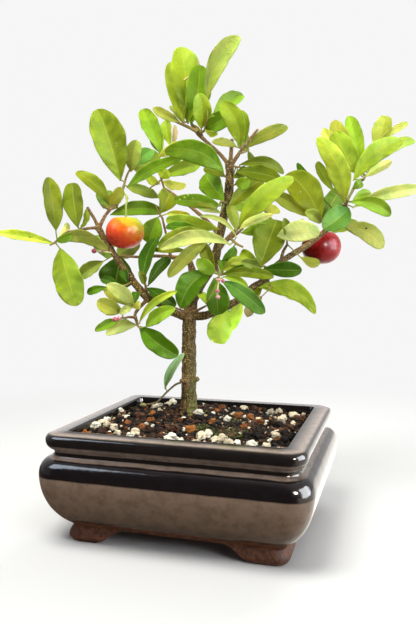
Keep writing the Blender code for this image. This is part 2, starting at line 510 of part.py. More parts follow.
        leaf("R9", (370, 174), (392, 165), 6.5, turn=15, lift=6, tint="mint"),
    ]),
    "spray_right_down": ([limb((341, 211, -3, 1.4), (342, 218, -14, 1.3), (343, 221, -18, 1.1))], [
        leaf("R17", (345, 226), (384, 249), 12.5, turn=10, lift=4, arch=3, bow=-2.7, tint="khaki"),
        leaf("B13", (343, 220), (372, 212), 14, turn=190, lift=-24, tint="green"),
    ]),
}
LOW_TWIG = limb((184, 381, 6, 1.8), (175, 385, 9, 1.6), (168, 391, 12, 1.4), (162, 397, 15, 1.3),
                (157, 402, 18, 1.2), (150, 404, 21, 1.1), (143, 405, 24, 1.0))
LOW_LEAF = leaf("G1", (166, 389), (185, 353), 6.5, turn=14, lift=4, arch=3, bow=-2, tint="teal")


def share_roots(lines, leaves):
    """Each leaf with its root: the leaves of one twig sit one after another along it."""
    rooted = []
    for line in lines:
        here = [spec for spec in leaves if line is min(
            lines, key=lambda one: nearest_on(one, *spec["foot"])[1])]
        here.sort(key=lambda spec: (nearest_on(line, *spec["foot"])[0] - line[0][0]).length)
        for order, spec in enumerate(here):
            behind = len(here) - 1 - order
            share = LAST_ROOT - behind * min(ROOT_STEP, ROOT_SPAN / len(here))
            rooted.append((spec, point_along(line, share)))
    return rooted


def point_along(line, share):
    """The place at a share of a line's length."""
    runs = [(line[k + 1][0] - line[k][0]).length for k in range(len(line) - 1)]
    left = share * sum(runs)
    for k, run in enumerate(runs):
        if left <= run:
            return line[k][0].lerp(line[k + 1][0], left / run)
        left -= run
    return line[-1][0]


def leaf_frame(spec, root):
    """The blade's foot and tip, and its across and outward directions."""
    near = VIEW_REACH - (root - VIEW_EYE).dot(FORWARD) if spec["near"] is None else spec["near"]
    foot = seen(*spec["foot"], near)
    tip = seen(*spec["tip"], near + spec["lift"])
    length = (tip - root).length
    along = (tip - root).normalized()
    if (foot - root).dot(along) < PETIOLE * length:
        foot = root + along * PETIOLE * length
    along = (tip - foot).normalized()
    middle = (foot + tip) / 2
    toward = VIEW_EYE - middle
    outward = (toward - along * toward.dot(along)).normalized()
    across = along.cross(outward)
    turn = math.radians(spec["turn"])
    outward, across = (outward * math.cos(turn) + across * math.sin(turn),
                       across * math.cos(turn) - outward * math.sin(turn))
    return foot, tip, across, outward


def outline(s):
    """The blade's width at s along it, 0 at the foot and 1 at the tip, as a share of the widest."""
    if s < WIDEST:
        return max(math.sin(math.pi / 2 * s / WIDEST) ** FOOT_CURVE, FOOT_BLUNT)
    return max(math.sqrt(max(1 - ((s - WIDEST) / (1 - WIDEST)) ** 2, 0)), TIP_BLUNT)


def leaf_solid(spec, root):
    """A blade on its petiole: sections of three points above and three below."""
    foot, tip, across, outward = leaf_frame(spec, root)
    fold = math.tan(math.radians(spec["fold"]))
    phase = WAVE_SHIFT * sum(spec["tip"])
    upper = []
    lower = []
    blade_half = BLADE_THICK / 2
    rod = outward * PETIOLE_HALF
    for side in (-1, 0, 1):
        upper.append(root + across * side * PETIOLE_HALF + rod)
        lower.append(root + across * side * PETIOLE_HALF - rod)
    for s in BIG_SECTIONS if spec["wide"] >= BIG_LEAF else SMALL_SECTIONS:
        bend = 4 * s * (1 - s)
        mid = foot.lerp(tip, s) + outward * spec["arch"] * bend + across * spec["bow"] * bend
        half = max(spec["wide"] / 2 * outline(s), PETIOLE_HALF)
        thick = outward * max(blade_half, PETIOLE_HALF * (1 - s / PETIOLE_FADE))
        for side in (-1, 0, 1):
            wave = WAVE * math.sin(math.tau * WAVE_TURNS * s + phase + WAVE_LAG * side)
            place = mid + across * side * half + outward * abs(side) * half * (fold + wave)
            upper.append(place + thick)
            lower.append(place - thick)
    count = len(upper)
    faces = []
    for k in range(0, count - 3, 3):
        for i in (k, k + 1):
            for a, b, c in ((i, i + 1, i + 4), (i, i + 4, i + 3)):
                faces.append((a, b, c))
                faces.append((count + c, count + b, count + a))
        faces.append((k, k + 3, count + k + 3))
        faces.append((k, count + k + 3, count + k))
        faces.append((k + 2, count + k + 2, count + k + 5))
        faces.append((k + 2, count + k + 5, k + 5))
    end = count - 3
    faces += [(0, count, count + 1), (0, count + 1, 1), (1, count + 1, count + 2),
              (1, count + 2, 2)]
    faces += [(end, end + 1, count + end + 1), (end, count + end + 1, count + end),
              (end + 1, end + 2, count + end + 2), (end + 1, count + end + 2, count + end + 1)]
    return add_mesh(spec["name"], upper + lower, faces)


def surface_of(item):
    """An object's surface as the modifiers leave it, in mm."""
    mesh = bmesh.new()
    mesh.from_object(item, bpy.context.evaluated_depsgraph_get())
    mesh.transform(Matrix.Scale(1 / MM, 4))
    surface = BVHTree.FromBMesh(mesh)
    mesh.free()
    return surface


def room_at(surface, place):
    """How far a place lies outside a surface, negative inside it."""
    near, normal, _, away = surface.find_nearest(place)
    return math.copysign(away, (place - near).dot(normal))


def seated(line, surface):
    """The line from where its whole section has come 0.3 mm clear of what carries it."""
    end = line[-1][0]
    for (start, radius), (stop, last_radius) in zip(line, line[1:]):
        heading = (stop - start).normalized()
        side = heading.orthogonal().normalized()
        steps = math.ceil((stop - start).length / SEAT_STEP)
        for step in range(steps):
            place = start.lerp(stop, step / steps)
            here = radius + (last_radius - radius) * step / steps
            section = [place] + [place + Matrix.Rotation(math.tau * i / 8, 3, heading) @ side * here
                                 for i in range(8)]
            if min(room_at(surface, spot) for spot in section) >= GAP:
                left = (place - end).length - KNOT_ROOM
                return [(place, here)] + [knot for knot in line if (knot[0] - end).length < left]
    return line


def build_spray(name, lines, leaves, wood):
    """One leafy spray: its twigs joined with its leaves."""
    lines = [seated(line, wood) for line in lines]
    solids = [tube(name + "_twig", line, TWIG_SIDES) for line in lines]
    for spec, root in share_roots(lines, leaves):
        solids.append(leaf_solid(spec, root))
    spray = boolean(solids[0], solids[1:], "UNION", SPRAY_SOLVER)
    spray.name = name
    tints = [TINTS[spec["tint"]] for spec in leaves]
    colour = [sum(tint[i] for tint in tints) / len(tints) for i in range(3)]
    spray.data.materials.clear()
    spray.data.materials.append(material(name, colour, 0.45))
    thin(spray, FACES_KEPT)
    return spray


def build_tree():
    """The trunk and its branches, cut level over the soil, on the root stock that stands in it."""
    sides = {"trunk": TRUNK_SIDES, "branch": BRANCH_SIDES}
    solids = [tube(name, line, sides.get(name.split("_")[0], TWIG_SIDES))
              for name, line in WOOD.items()]
    solids += [tube("root", line, BRANCH_SIDES) for line in ROOTS]
    tree = boolean(solids[0], solids[1:], "UNION")
    reach = POT_HALF_X / 2
    ground = slab("ground", TREE_FOOT.x - reach, TREE_FOOT.x + reach, TREE_FOOT.y - reach,
                  TREE_FOOT.y + reach, 0.0, SOIL_TOP + GAP)
    boolean(tree, [ground], "DIFFERENCE")
    peg = turned("peg", TREE_FOOT, [(SOIL_TOP - PEG_DEPTH, PEG_RADIUS * PEG_TAPER),
                                    (SOIL_TOP + PEG_RISE, PEG_RADIUS)], TRUNK_SIDES)
    boolean(tree, [peg], "UNION")
    tree.name = "tree"
    tree.data.materials.clear()
    tree.data.materials.append(material("bark", BARK, 0.9))
    thin(tree, FACES_KEPT)
    return tree


OUTER_PROFILE = (                # (inset from the rim's widest line, z, corner radius)
    (FOOT_INSET + 1.6, 0.0, 6.0), (FOOT_INSET - 0.8, 2.6, 7.5), (FOOT_INSET - 0.6, 5.4, 7.5),
    (FOOT_INSET + 1.2, 8.8, 7.0), (FOOT_INSET, BODY_BOTTOM, 7.0),
    (6.6, 15.0, 9.0), (1.4, 22.0, 11.0), (-2.4, 31.0, 13.0), (-BELLY_OUT, BELLY_Z, 14.0),
    (-3.2, 47.0, 14.0), (-0.6, 50.6, 13.0), (2.6, 52.0, 11.0), (3.8, 53.4, 10.0),
    (3.4, 56.0, 10.0), (1.6, 57.6, 10.0), (0.2, 60.0, 10.5), (0.0, 63.0, 10.5),
    (1.2, 65.2, 9.6), (3.2, RIM_TOP, 8.0),
)
INNER_PROFILE = (
    (10.4, RIM_TOP, 4.0), (WALL_INSET, 64.8, 3.6), (WALL_INSET + 1.2, 50.0, 3.6),
    (WALL_INSET + 3.6, 24.0, 3.6), (WALL_INSET + 6.0, FLOOR_TOP, 3.6),
)
# The apron's lower edge beside a foot: (distance from the foot's flat, z)
BRACKET = ((0.0, 0.6), (3.0, 1.5), (6.0, 3.0), (9.0, 5.0), (12.0, 7.0), (15.5, 8.6),
           (19.0, BODY_BOTTOM - APRON_DROP))
RECESS_RADIUS = 4.0
CUT = 1.0                       # how far a cutter runs past a face
DRAIN_SIDES = 16
SCREEN_BAR = 1.2                # half a bar of the screen's mesh


def apron_cutter(name, half_gap, half_run, axis):
    """A prism under the apron, with the feet's bracket outline, along X or along Y."""
    half = [(half_gap, -CUT)] + [(half_gap - d, z) for d, z in BRACKET]
    shape = half + [(-u, z) for u, z in reversed(half)]
    rings = []
    for reach in (half_run, -half_run):
        if axis == "Y":
            rings.append([Vector((u, reach, z)) for u, z in shape])
        else:
            rings.append([Vector((reach, u, z)) for u, z in reversed(shape)])
    return loft(name, rings, smooth=False)


def build_pot():
    """The fired clay in one piece: body, rim, feet and apron, with its drainage holes."""
    rings = [rounded(*entry) for entry in OUTER_PROFILE + INNER_PROFILE]
    pot = loft("pot", rings)
    recess = FOOT_INSET + APRON_THICK
    cutters = [loft("recess", [rounded(recess, -CUT, RECESS_RADIUS),
                               rounded(recess, BODY_BOTTOM, RECESS_RADIUS)])]
    cutters.append(apron_cutter("front_gap", POT_HALF_X - FOOT_INSET - FOOT_LENGTH_X,
                                POT_HALF_Y + BELLY_OUT, "Y"))
    cutters.append(apron_cutter("side_gap", POT_HALF_Y - FOOT_INSET - FOOT_LENGTH_Y,
                                POT_HALF_X + BELLY_OUT, "X"))
    for x in (-DRAIN_X, DRAIN_X):
        span = [(BODY_BOTTOM - CUT, DRAIN_RADIUS), (FLOOR_TOP + CUT, DRAIN_RADIUS)]
        cutters.append(turned("drain", Vector((x, 0, 0)), span, DRAIN_SIDES))
    boolean(pot, cutters, "DIFFERENCE")
    pot.data.materials.clear()
    pot.data.materials.append(material("glaze", GLAZE, 0.18))


def build_screens():
    """Plastic mesh over each drainage hole."""
    half = SCREEN_SIZE / 2
    low = FLOOR_TOP + GAP
    high = low + SCREEN_THICK
    cell = SCREEN_SIZE / SCREEN_HOLES
    hole = cell / 2 - SCREEN_BAR
    for side, x in (("left", -DRAIN_X), ("right", DRAIN_X)):
        screen = slab("drain_screen_" + side, x - half, x + half, -half, half, low, high)
        holes = []
        for i in range(SCREEN_HOLES):
            for j in range(SCREEN_HOLES):
                cx = x - half + cell * (i + 0.5)
                cy = -half + cell * (j + 0.5)
                holes.append(slab("hole", cx - hole, cx + hole, cy - hole, cy + hole,
                                  low - CUT, high + CUT))
        boolean(screen, holes, "DIFFERENCE")
        screen.data.materials.clear()
        screen.data.materials.append(material("screen", SCREEN_BLACK, 0.6))


def soil_height(x, y):
    """The soil's smooth surface: level at the wall, mounded at the trunk."""
    away = math.hypot(x - TREE_FOOT.x, y - TREE_FOOT.y)
    share = (MOUND_REACH - away) / (MOUND_REACH - MOUND_FLAT)
    return SOIL_EDGE_Z + SOIL_MOUND * min(1.0, max(0.0, share))


def grit_field(draw):
    """A block wider than the pot, its top a net of grains at the soil's surface."""
    columns = int(2 * POT_HALF_X / GRIT_CELL)
    rows = int(2 * POT_HALF_Y / GRIT_CELL)
    points = []
    for j in range(rows + 1):
        for i in range(columns + 1):
            x = -POT_HALF_X + 2 * POT_HALF_X * i / columns
            y = -POT_HALF_Y + 2 * POT_HALF_Y * j / rows
            x += draw.uniform(-GRIT_SHIFT, GRIT_SHIFT) * GRIT_CELL
            y += draw.uniform(-GRIT_SHIFT, GRIT_SHIFT) * GRIT_CELL
            bump = draw.uniform(-GRIT_RELIEF, GRIT_RELIEF)
            if math.hypot(x - TREE_FOOT.x, y - TREE_FOOT.y) < ROOT_ROOM:
                bump = 0.0
            points.append(Vector((x, y, soil_height(x, y) + bump)))
    count = len(points)
    points += [Vector((p.x, p.y, 0.0)) for p in points]
    faces = []
    wide = columns + 1
    for j in range(rows):
        for i in range(columns):
            a = j * wide + i
            faces += [(a, a + 1, a + wide + 1), (a, a + wide + 1, a + wide)]
            faces.append((count + a, count + a + wide, count + a + wide + 1, count + a + 1))
    for i in range(columns):
        faces.append((i, count + i, count + i + 1, i + 1))
        top = rows * wide + i
        faces.append((top, top + 1, count + top + 1, count + top))
    for j in range(rows):
        left = j * wide
        right = left + columns
        faces.append((left, left + wide, count + left + wide, count + left))
        faces.append((right, count + right, count + right + wide, right + wide))
    return add_mesh("field", points, faces)


def soil_stones(draw):
    """The bigger stones that lie half sunk in the soil."""
    stones = []
    room = WALL_INSET + 2 * STONE_WIDE[1]
    while len(stones) < STONE_COUNT:
        x = draw.uniform(-1, 1) * (POT_HALF_X - room)
        y = draw.uniform(-1, 1) * (POT_HALF_Y - room)
        if math.hypot(x - TREE_FOOT.x, y - TREE_FOOT.y) < STONE_ROOM:
            continue
        mesh = bmesh.new()
        bmesh.ops.create_icosphere(mesh, subdivisions=1, radius=draw.uniform(*STONE_WIDE))
        spin = Matrix.Rotation(draw.uniform(0, math.tau), 3, "Z") @ Matrix.Diagonal((1.2, 1.0, 0.8))
        place = Vector((x, y, soil_height(x, y) + STONE_SINK))
        shape = [spin @ v.co + place for v in mesh.verts]
        stones.append(add_mesh("stone", shape, [[v.index for v in f.verts] for f in mesh.faces]))
        mesh.free()
    return stones


def build_soil():
    """The filling, 0.3 mm inside the pot's wall, with room for the root stock and the screens."""
    draw = random.Random(7)
    wall = [rounded(inset + GAP, z, radius) for inset, z, radius in reversed(INNER_PROFILE[1:])]
    for point in wall[0]:
        point.z += GAP
    for point in wall[-1]:
        point.z = RIM_TOP + STONE_WIDE[1]
    soil = loft("soil", wall, smooth=False)
    boolean(soil, [grit_field(draw)], "INTERSECT")
    boolean(soil, soil_stones(draw), "UNION")
    hole = [(SOIL_TOP - PEG_DEPTH - GAP, PEG_RADIUS * PEG_TAPER + GAP),
            (SOIL_TOP + PEG_RISE, PEG_RADIUS + GAP)]
    cuts = [turned("root_hole", TREE_FOOT, hole, TRUNK_SIDES)]
    half = SCREEN_SIZE / 2 + GAP
    for x in (-DRAIN_X, DRAIN_X):
        cuts.append(slab("pocket", x - half, x + half, -half, half, FLOOR_TOP - CUT,
                         FLOOR_TOP + SCREEN_THICK + 2 * GAP))
    boolean(soil, cuts, "DIFFERENCE")
    soil.data.materials.clear()
    soil.data.materials.append(material("soil", SOIL_DARK, 0.95))


FRUIT = {
    "fruit_orange": dict(centre=(125, 232, 5), wide=26.0, tall=23.0, colour=(0.75, 0.16, 0.03),
                         stalk=limb((122, 192, -7, 1.5), (127, 197, -2, 1.7), (126, 207, 2, 1.3),
                                    (126, 220, 5, 1.4))),
    "fruit_red": dict(centre=(321, 247, -17), wide=28.0, tall=25.0, colour=(0.30, 0.01, 0.02),
                      stalk=limb((310, 242, 1, 1.5), (310, 235, -7, 1.3), (316, 229, -14, 1.3),
                                 (320, 236, -17, 1.4))),
}
# Each cluster: what carries it, its stalk, and its buds as (picture x, picture y, depth,
# diameter in mm)
BUDS = {
    "buds_left": ("tree", limb((113, 253, 5, 1.1), (106, 252, 9, 1.0), (97, 251, 11, 0.9)),
                  ((94, 251, 12, 4.4), (103, 249, 11, 4.2))),
    "buds_low": ("spray_knuckle_end",
                 limb((119, 318.6, 22, 1.1), (117, 320, 27, 1.0), (115, 320, 29, 0.9)),
                 ((114, 320, 30, 4.0), (119, 318, 29, 3.4))),
    "buds_mid": ("spray_hang",
                 limb((220, 279, 24.6, 1.1), (218, 286, 31, 1.0), (217, 296, 33, 0.9)),
                 ((223, 284, 32, 3.6), (216, 283, 33, 3.2), (220, 291, 34, 3.6),
                  (217, 299, 33, 4.4))),
}
FRUIT_LOBES = 3
LOBE_SWELL = 0.025
FRUIT_DIMPLE = 0.16
FRUIT_NET = (15, 10)            # faces around and down
BUD_NET = (6, 4)
PEDICEL_HALF = 0.5
END_BUD = (3.4, 3.0)            # width and height of the low twig's last bud


def ball(name, centre, wide, tall, net, lobes=0.0, dimple=0.0):
    """A round body with a dimple at its top and shallow lobes."""
    around, down = net
    rings = []
    for j in range(1, down):
        angle = math.pi * (1 - j / down)
        dip = 1 - dimple * max(0.0, math.cos(angle)) ** 6
        ring = []
        for i in range(around):
            turn = math.tau * i / around
            swell = 1 + lobes * math.cos(FRUIT_LOBES * turn)
            ring.append(centre + Vector((wide / 2 * swell * math.sin(angle) * math.cos(turn),
                                         wide / 2 * swell * math.sin(angle) * math.sin(turn),
                                         tall / 2 * dip * math.cos(angle))))
        rings.append(ring)
    return loft(name, rings)


def build_fruit(wood):
    for name, spec in FRUIT.items():
        body = ball(name, seen(*spec["centre"]), spec["wide"], spec["tall"], FRUIT_NET,
                    LOBE_SWELL, FRUIT_DIMPLE)
        boolean(body, [tube("stalk", seated(spec["stalk"], wood), TWIG_SIDES)], "UNION")
        body.data.materials.clear()
        body.data.materials.append(material(name, spec["colour"], 0.25))


def build_buds():
    for name, (carrier, stalk, buds) in BUDS.items():
        carried = surface_of(bpy.data.objects[carrier])
        line = seated(stalk, carried)
        solids = [tube(name, line, TWIG_SIDES)]
        for x, y, near, size in buds:
            centre = seen(x, y, near)
            root = nearest_on(line, x, y)[0]
            solids.append(ball("bud", centre, size, size, BUD_NET))
            solids.append(tube("pedicel", [(root, PEDICEL_HALF), (centre, PEDICEL_HALF)],
                               TWIG_SIDES))
        cluster = boolean(solids[0], solids[1:], "UNION")
        cluster.data.materials.clear()
        cluster.data.materials.append(material(name, BUD_PINK, 0.5))


def build_low_twig(wood):
    """The twig from the trunk's foot, with its one leaf and the bud at its end."""
    line = seated(LOW_TWIG, wood)
    solids = [tube("low_twig", line, TWIG_SIDES),
              leaf_solid(LOW_LEAF, nearest_on(line, *LOW_LEAF["foot"])[0]),
              ball("end_bud", line[-1][0], *END_BUD, BUD_NET)]
    twig_node = boolean(solids[0], solids[1:], "UNION")
    twig_node.data.materials.clear()
    twig_node.data.materials.append(material("low_twig", TINTS["teal"], 0.5))


def stand_on_origin():
    """Moves everything so that the whole stands on the origin, centred over it."""
    parts = [item for item in bpy.context.scene.objects if item.type == "MESH"]
    corners = [v.co for item in parts for v in item.data.vertices]
    low = [min(c[i] for c in corners) for i in range(3)]
    high = [max(c[i] for c in corners) for i in range(3)]
    bonsai = bpy.data.objects.new("bonsai", None)
    bpy.context.scene.collection.objects.link(bonsai)
    bonsai.location = (-(low[0] + high[0]) / 2, -(low[1] + high[1]) / 2, -low[2])
    for item in parts:
        item.parent = bonsai


clear_scene()
build_pot()
build_screens()
build_soil()
tree_surface = surface_of(build_tree())
for spray_name, (twigs, leaves) in SPRAYS.items():
    build_spray(spray_name, twigs, leaves, tree_surface)
build_low_twig(tree_surface)
build_fruit(tree_surface)
build_buds()
stand_on_origin()
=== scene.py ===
import math
import random
from collections import namedtuple

import bmesh
import bpy
from mathutils import Matrix, Vector, noise
from mathutils.bvhtree import BVHTree
from mathutils.kdtree import KDTree


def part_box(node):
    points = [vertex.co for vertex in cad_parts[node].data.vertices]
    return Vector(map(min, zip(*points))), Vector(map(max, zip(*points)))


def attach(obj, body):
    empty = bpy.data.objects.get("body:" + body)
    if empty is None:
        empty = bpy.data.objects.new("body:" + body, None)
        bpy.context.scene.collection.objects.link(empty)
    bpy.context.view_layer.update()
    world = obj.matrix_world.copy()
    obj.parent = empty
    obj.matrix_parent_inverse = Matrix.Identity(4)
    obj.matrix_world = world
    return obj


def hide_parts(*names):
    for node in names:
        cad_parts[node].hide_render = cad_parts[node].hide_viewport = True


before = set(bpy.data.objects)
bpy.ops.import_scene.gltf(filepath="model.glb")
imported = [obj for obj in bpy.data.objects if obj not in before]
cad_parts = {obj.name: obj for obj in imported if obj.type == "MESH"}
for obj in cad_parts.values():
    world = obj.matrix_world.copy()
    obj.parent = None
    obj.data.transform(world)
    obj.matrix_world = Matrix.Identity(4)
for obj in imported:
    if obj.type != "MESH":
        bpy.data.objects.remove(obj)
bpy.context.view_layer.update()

# Everything is laid out in mm about the middle of the pot's foot, as the solids were, and moved
# into the frame by SHIFT.
MM = 0.001
GAP = 0.3                       # between a twig or the soil and the solid that it stands off
pot_low, pot_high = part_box("pot")
SHIFT = Vector(((pot_low.x + pot_high.x) / 2, (pot_low.y + pot_high.y) / 2, pot_low.z)) / MM

# The pot, in mm
POT_HALF_X = 77.5
POT_HALF_Y = 68.5
RIM_TOP = 66.0
BELLY_Z = 41.0
BELLY_OUT = 4.0
BODY_BOTTOM = 11.0
FOOT_INSET = 11.4
WALL_INSET = 12.0
WALL_SLOPE = 5.4                # how far the wall leans in towards its foot
INNER_EDGE = 9.6                # the glaze is dark further in than this
FLOOR_TOP = 17.0
FOOT_LENGTH_X = 18.0
FOOT_LENGTH_Y = 17.0
APRON_DROP = 1.6
APRON_THICK = 8.0
CLAY_TOP = 10.6                 # the glaze ends here
DRAIN_RADIUS = 8.0
DRAIN_X = 34.0
CORNER_STEPS = 10
SIDE_STEPS = 16
# (inset, height, corner radius), up the outside and down the inside
OUTER_PROFILE = (
    (FOOT_INSET + 1.6, 0.0, 6.0), (FOOT_INSET - 0.8, 2.6, 7.5), (FOOT_INSET - 0.6, 5.4, 7.5),
    (FOOT_INSET + 1.2, 8.8, 7.0), (FOOT_INSET, BODY_BOTTOM, 7.0),
    (6.6, 15.0, 9.0), (1.4, 22.0, 11.0), (-2.4, 31.0, 13.0), (-BELLY_OUT, BELLY_Z, 14.0),
    (-3.2, 47.0, 14.0), (-0.6, 50.6, 13.0), (2.6, 52.0, 11.0), (3.8, 53.4, 10.0),
    (3.4, 56.0, 10.0), (1.6, 57.6, 10.0), (0.2, 60.0, 10.5), (0.0, 63.0, 10.5),
    (1.2, 65.2, 9.6), (3.2, RIM_TOP, 8.0),
)
INNER_PROFILE = (
    (10.4, RIM_TOP, 4.0), (WALL_INSET, 64.8, 3.6), (WALL_INSET + 1.2, 50.0, 3.6),
    (WALL_INSET + 3.6, 24.0, 3.6), (WALL_INSET + 6.0, FLOOR_TOP, 3.6),
)
# A foot's side: (how far from the foot towards the gap's middle, height)
BRACKET = ((0.0, 0.6), (3.0, 1.5), (6.0, 3.0), (9.0, 5.0), (12.0, 7.0), (15.5, 8.6),
           (19.0, BODY_BOTTOM - APRON_DROP))
POT_BANDS = (                   # (height, colour of the glaze), darker towards the foot; the taupe bands and the pale rim top are partly the glaze's own colour and partly painted reflection of the floor and room
    (9.0, (0.008, 0.004, 0.003)), (12.5, (0.012, 0.007, 0.005)), (14.5, (0.046, 0.029, 0.018)),
    (22.0, (0.102, 0.066, 0.044)), (40.9, (0.150, 0.102, 0.072)), (41.7, (0.004, 0.003, 0.004)),
    (51.3, (0.004, 0.003, 0.004)), (51.6, (0.140, 0.102, 0.080)), (52.9, (0.150, 0.112, 0.090)),
    (53.2, (0.005, 0.004, 0.004)), (55.2, (0.005, 0.004, 0.004)), (55.5, (0.130, 0.096, 0.078)),
    (59.0, (0.115, 0.085, 0.068)), (59.6, (0.005, 0.004, 0.004)), (65.45, (0.006, 0.005, 0.005)),
    (65.85, (0.200, 0.155, 0.130)), (66.0, (0.230, 0.180, 0.152)),
)

# The view that places the crown: a picture 416 by 624 points
VIEW_FOCAL = 649.5
VIEW_CENTRE = (208, 312)
VIEW_EYE = Vector((123.2, -397.3, 158.9))
VIEW_YAW = math.radians(16.6)
VIEW_PITCH = math.radians(3.3)
VIEW_REACH = 444.7              # from the eye to the trunk's plane, mm
PICTURE_TALL = 624
SENSOR = 36.0
FORWARD = Vector((-math.sin(VIEW_YAW) * math.cos(VIEW_PITCH),
                  math.cos(VIEW_YAW) * math.cos(VIEW_PITCH), -math.sin(VIEW_PITCH)))
RIGHT = Vector((math.cos(VIEW_YAW), math.sin(VIEW_YAW), 0))
UP = RIGHT.cross(FORWARD)


def seen(x, y, near=0.0):
    """The place, in mm, of a picture point that lies `near` mm in front of the trunk's plane."""
    side = (x - VIEW_CENTRE[0]) / VIEW_FOCAL
    rise = (VIEW_CENTRE[1] - y) / VIEW_FOCAL
    return VIEW_EYE + (FORWARD + RIGHT * side + UP * rise) * (VIEW_REACH - near)


def limb(*knots):
    """A line of (place, radius) from knots of picture x and y, depth and diameter in mm."""
    return [(seen(x, y, near), thick / 2) for x, y, near, thick in knots]


# The tree's wood
VOXEL = 0.45                    # mm
KNOT_ROOM = 0.8                 # the least way from a twig's start to its next knot, mm
LINE_STEPS = 8
SEAT_STEP = 0.1                 # mm
RIDGE = 0.42                    # how far the bark's ridges, knobs and lenticels stand out, mm
KNOB = 0.22
LENTICEL = 0.5
TWIG_TINT = (0.25, 0.17, 0.06)
WOOD = {
    "trunk": limb((189, 418, 0, 13.0), (189, 408, 0, 11.6), (189, 396, 0, 10.4), (189, 372, 0, 10.0),
        (189, 350, 0, 9.8), (189, 330, 0, 9.4), (190, 312, 0, 9.0), (193, 297, 0, 8.2),
        (203, 280, 1, 7.0), (213, 266, 2, 6.4), (217, 250, 2, 6.0), (221, 230, 2, 5.8),
        (226, 205, 1, 6.0), (229, 190, 0, 6.2), (230, 175, 0, 5.6), (229, 161, 0, 6.4)),
    "branch_left": limb((188, 318, 0, 6.0), (172, 312, 3, 5.2), (160, 304, 6, 5.0), (147, 297, 8, 6.0),
        (133, 281, 7, 4.8), (118, 260, 5, 4.4), (105, 240, 3, 4.2), (98, 227, 2, 4.8)),
    "branch_right": limb((192, 316, 0, 6.2), (207, 315, 5, 5.6), (225, 307, 9, 5.0),
        (240, 299, 11, 4.8), (253, 287, 10, 4.6), (266, 279, 8, 4.4), (277, 265, 6, 4.2),
        (293, 254, 4, 4.2), (309, 244, 2, 4.0), (326, 230, 0, 3.8), (345, 206, -2, 4.0)),
    "branch_rear": limb((194, 285, 0, 5.4), (192, 270, -5, 5.0), (187, 260, -10, 4.2),
        (170, 257, -16, 2.8), (155, 256, -21, 2.4), (140, 257, -25, 2.2), (123, 256, -29, 1.8)),
    "branch_back": limb((206, 277, 0, 4.0), (214, 258, -12, 3.4), (226, 240, -24, 3.0),
        (240, 226, -36, 2.6), (252, 214, -46, 2.2)),
    "branch_back_left": limb((220, 236, 2, 3.6), (208, 222, -10, 3.0), (192, 208, -22, 2.6),
        (176, 196, -32, 2.2), (164, 188, -40, 1.8)),
    "branch_down": limb((148, 299, 8, 3.0), (143, 304, 9, 2.6), (138, 309, 11, 2.4),
        (135, 315, 13, 2.2), (137, 322, 15, 2.2)),
    "stub_top": limb((230, 168, 0, 3.4), (231, 155, -1, 2.8), (232, 139, -2, 2.6)),
    "twig_top_left": limb((228, 164, 0, 3.2), (220, 154, -1, 2.6), (209, 144, -3, 2.4),
        (199, 135, -4, 2.8)),
    "twig_top_right": limb((231, 166, 0, 3.2), (238, 155, 2, 2.6), (246, 144, 3, 2.2),
        (258, 129, 4, 1.8)),
    "hub_top": limb((203, 139, -4, 2.2), (199, 133, -4, 4.6), (196, 129, -4, 4.4), (193, 126, -4, 2.6)),
    "stub_left_a": limb((100, 232, 2, 3.0), (95, 220, 3, 2.4), (87, 207, 4, 2.0)),
    "stub_left_b": limb((98, 230, 2, 3.0), (105, 216, 0, 2.4), (113, 206, -3, 2.2), (120, 197, -6, 2.0),
        (124, 186, -8, 1.8)),
    "stub_left_c": limb((100, 229, 2, 2.8), (92, 228, 3, 2.2), (80, 230, 5, 2.0), (66, 233, 7, 1.8),
        (58, 240, 8, 2.2)),
    "stub_knuckle": limb((137, 318, 14, 2.2), (130, 317, 15, 1.8), (125, 318, 16, 1.6)),
    "stub_rear": limb((171, 259, -15, 2.6), (167, 238, -14, 2.0), (162, 217, -13, 1.6)),
    "stub_right": limb((281, 261, 5, 2.8), (283, 252, 7, 2.2), (287, 245, 9, 1.8)),
    "stub_trunk_a": limb((189, 314, 3, 2.6), (181, 310, 7, 1.8), (173, 307, 10, 1.2)),
    "stub_trunk_b": limb((193, 313, 3, 2.6), (200, 309, 7, 1.8), (208, 305, 9, 1.2)),
    "nub_a": limb((192, 381, 2, 4.4), (197, 379, 3, 3.4), (199, 378, 3, 2.2)),
    "nub_b": limb((187, 382, 3, 3.6), (183, 381, 5, 3.0), (180, 380, 6, 2.0)),
    "twig_right_up": limb((342, 211, -2, 3.0), (350, 195, -4, 2.0), (356, 186, -5, 1.8),
        (363, 180, -6, 1.6)),
    "twig_spur": limb((219, 246, 2, 2.6), (229, 239, 6, 2.2), (238, 233, 10, 2.0)),
    "twig_mid": limb((215, 262, 2, 2.8), (217, 268, 8, 2.2), (219, 274, 13, 2.0)),
}
ROOTS = (
    limb((189, 406, 0, 7.0), (196, 417, 4, 5.0), (203, 430, 8, 3.6)),
    limb((189, 406, 0, 7.0), (183, 417, 5, 5.0), (176, 430, 9, 3.6)),
    limb((189, 406, 0, 7.0), (190, 419, 8, 5.0), (192, 433, 14, 3.6)),
    limb((189, 406, 0, 7.0), (188, 413, -7, 5.0), (187, 423, -13, 3.6)),
)
TREE_FOOT = seen(189, 411)

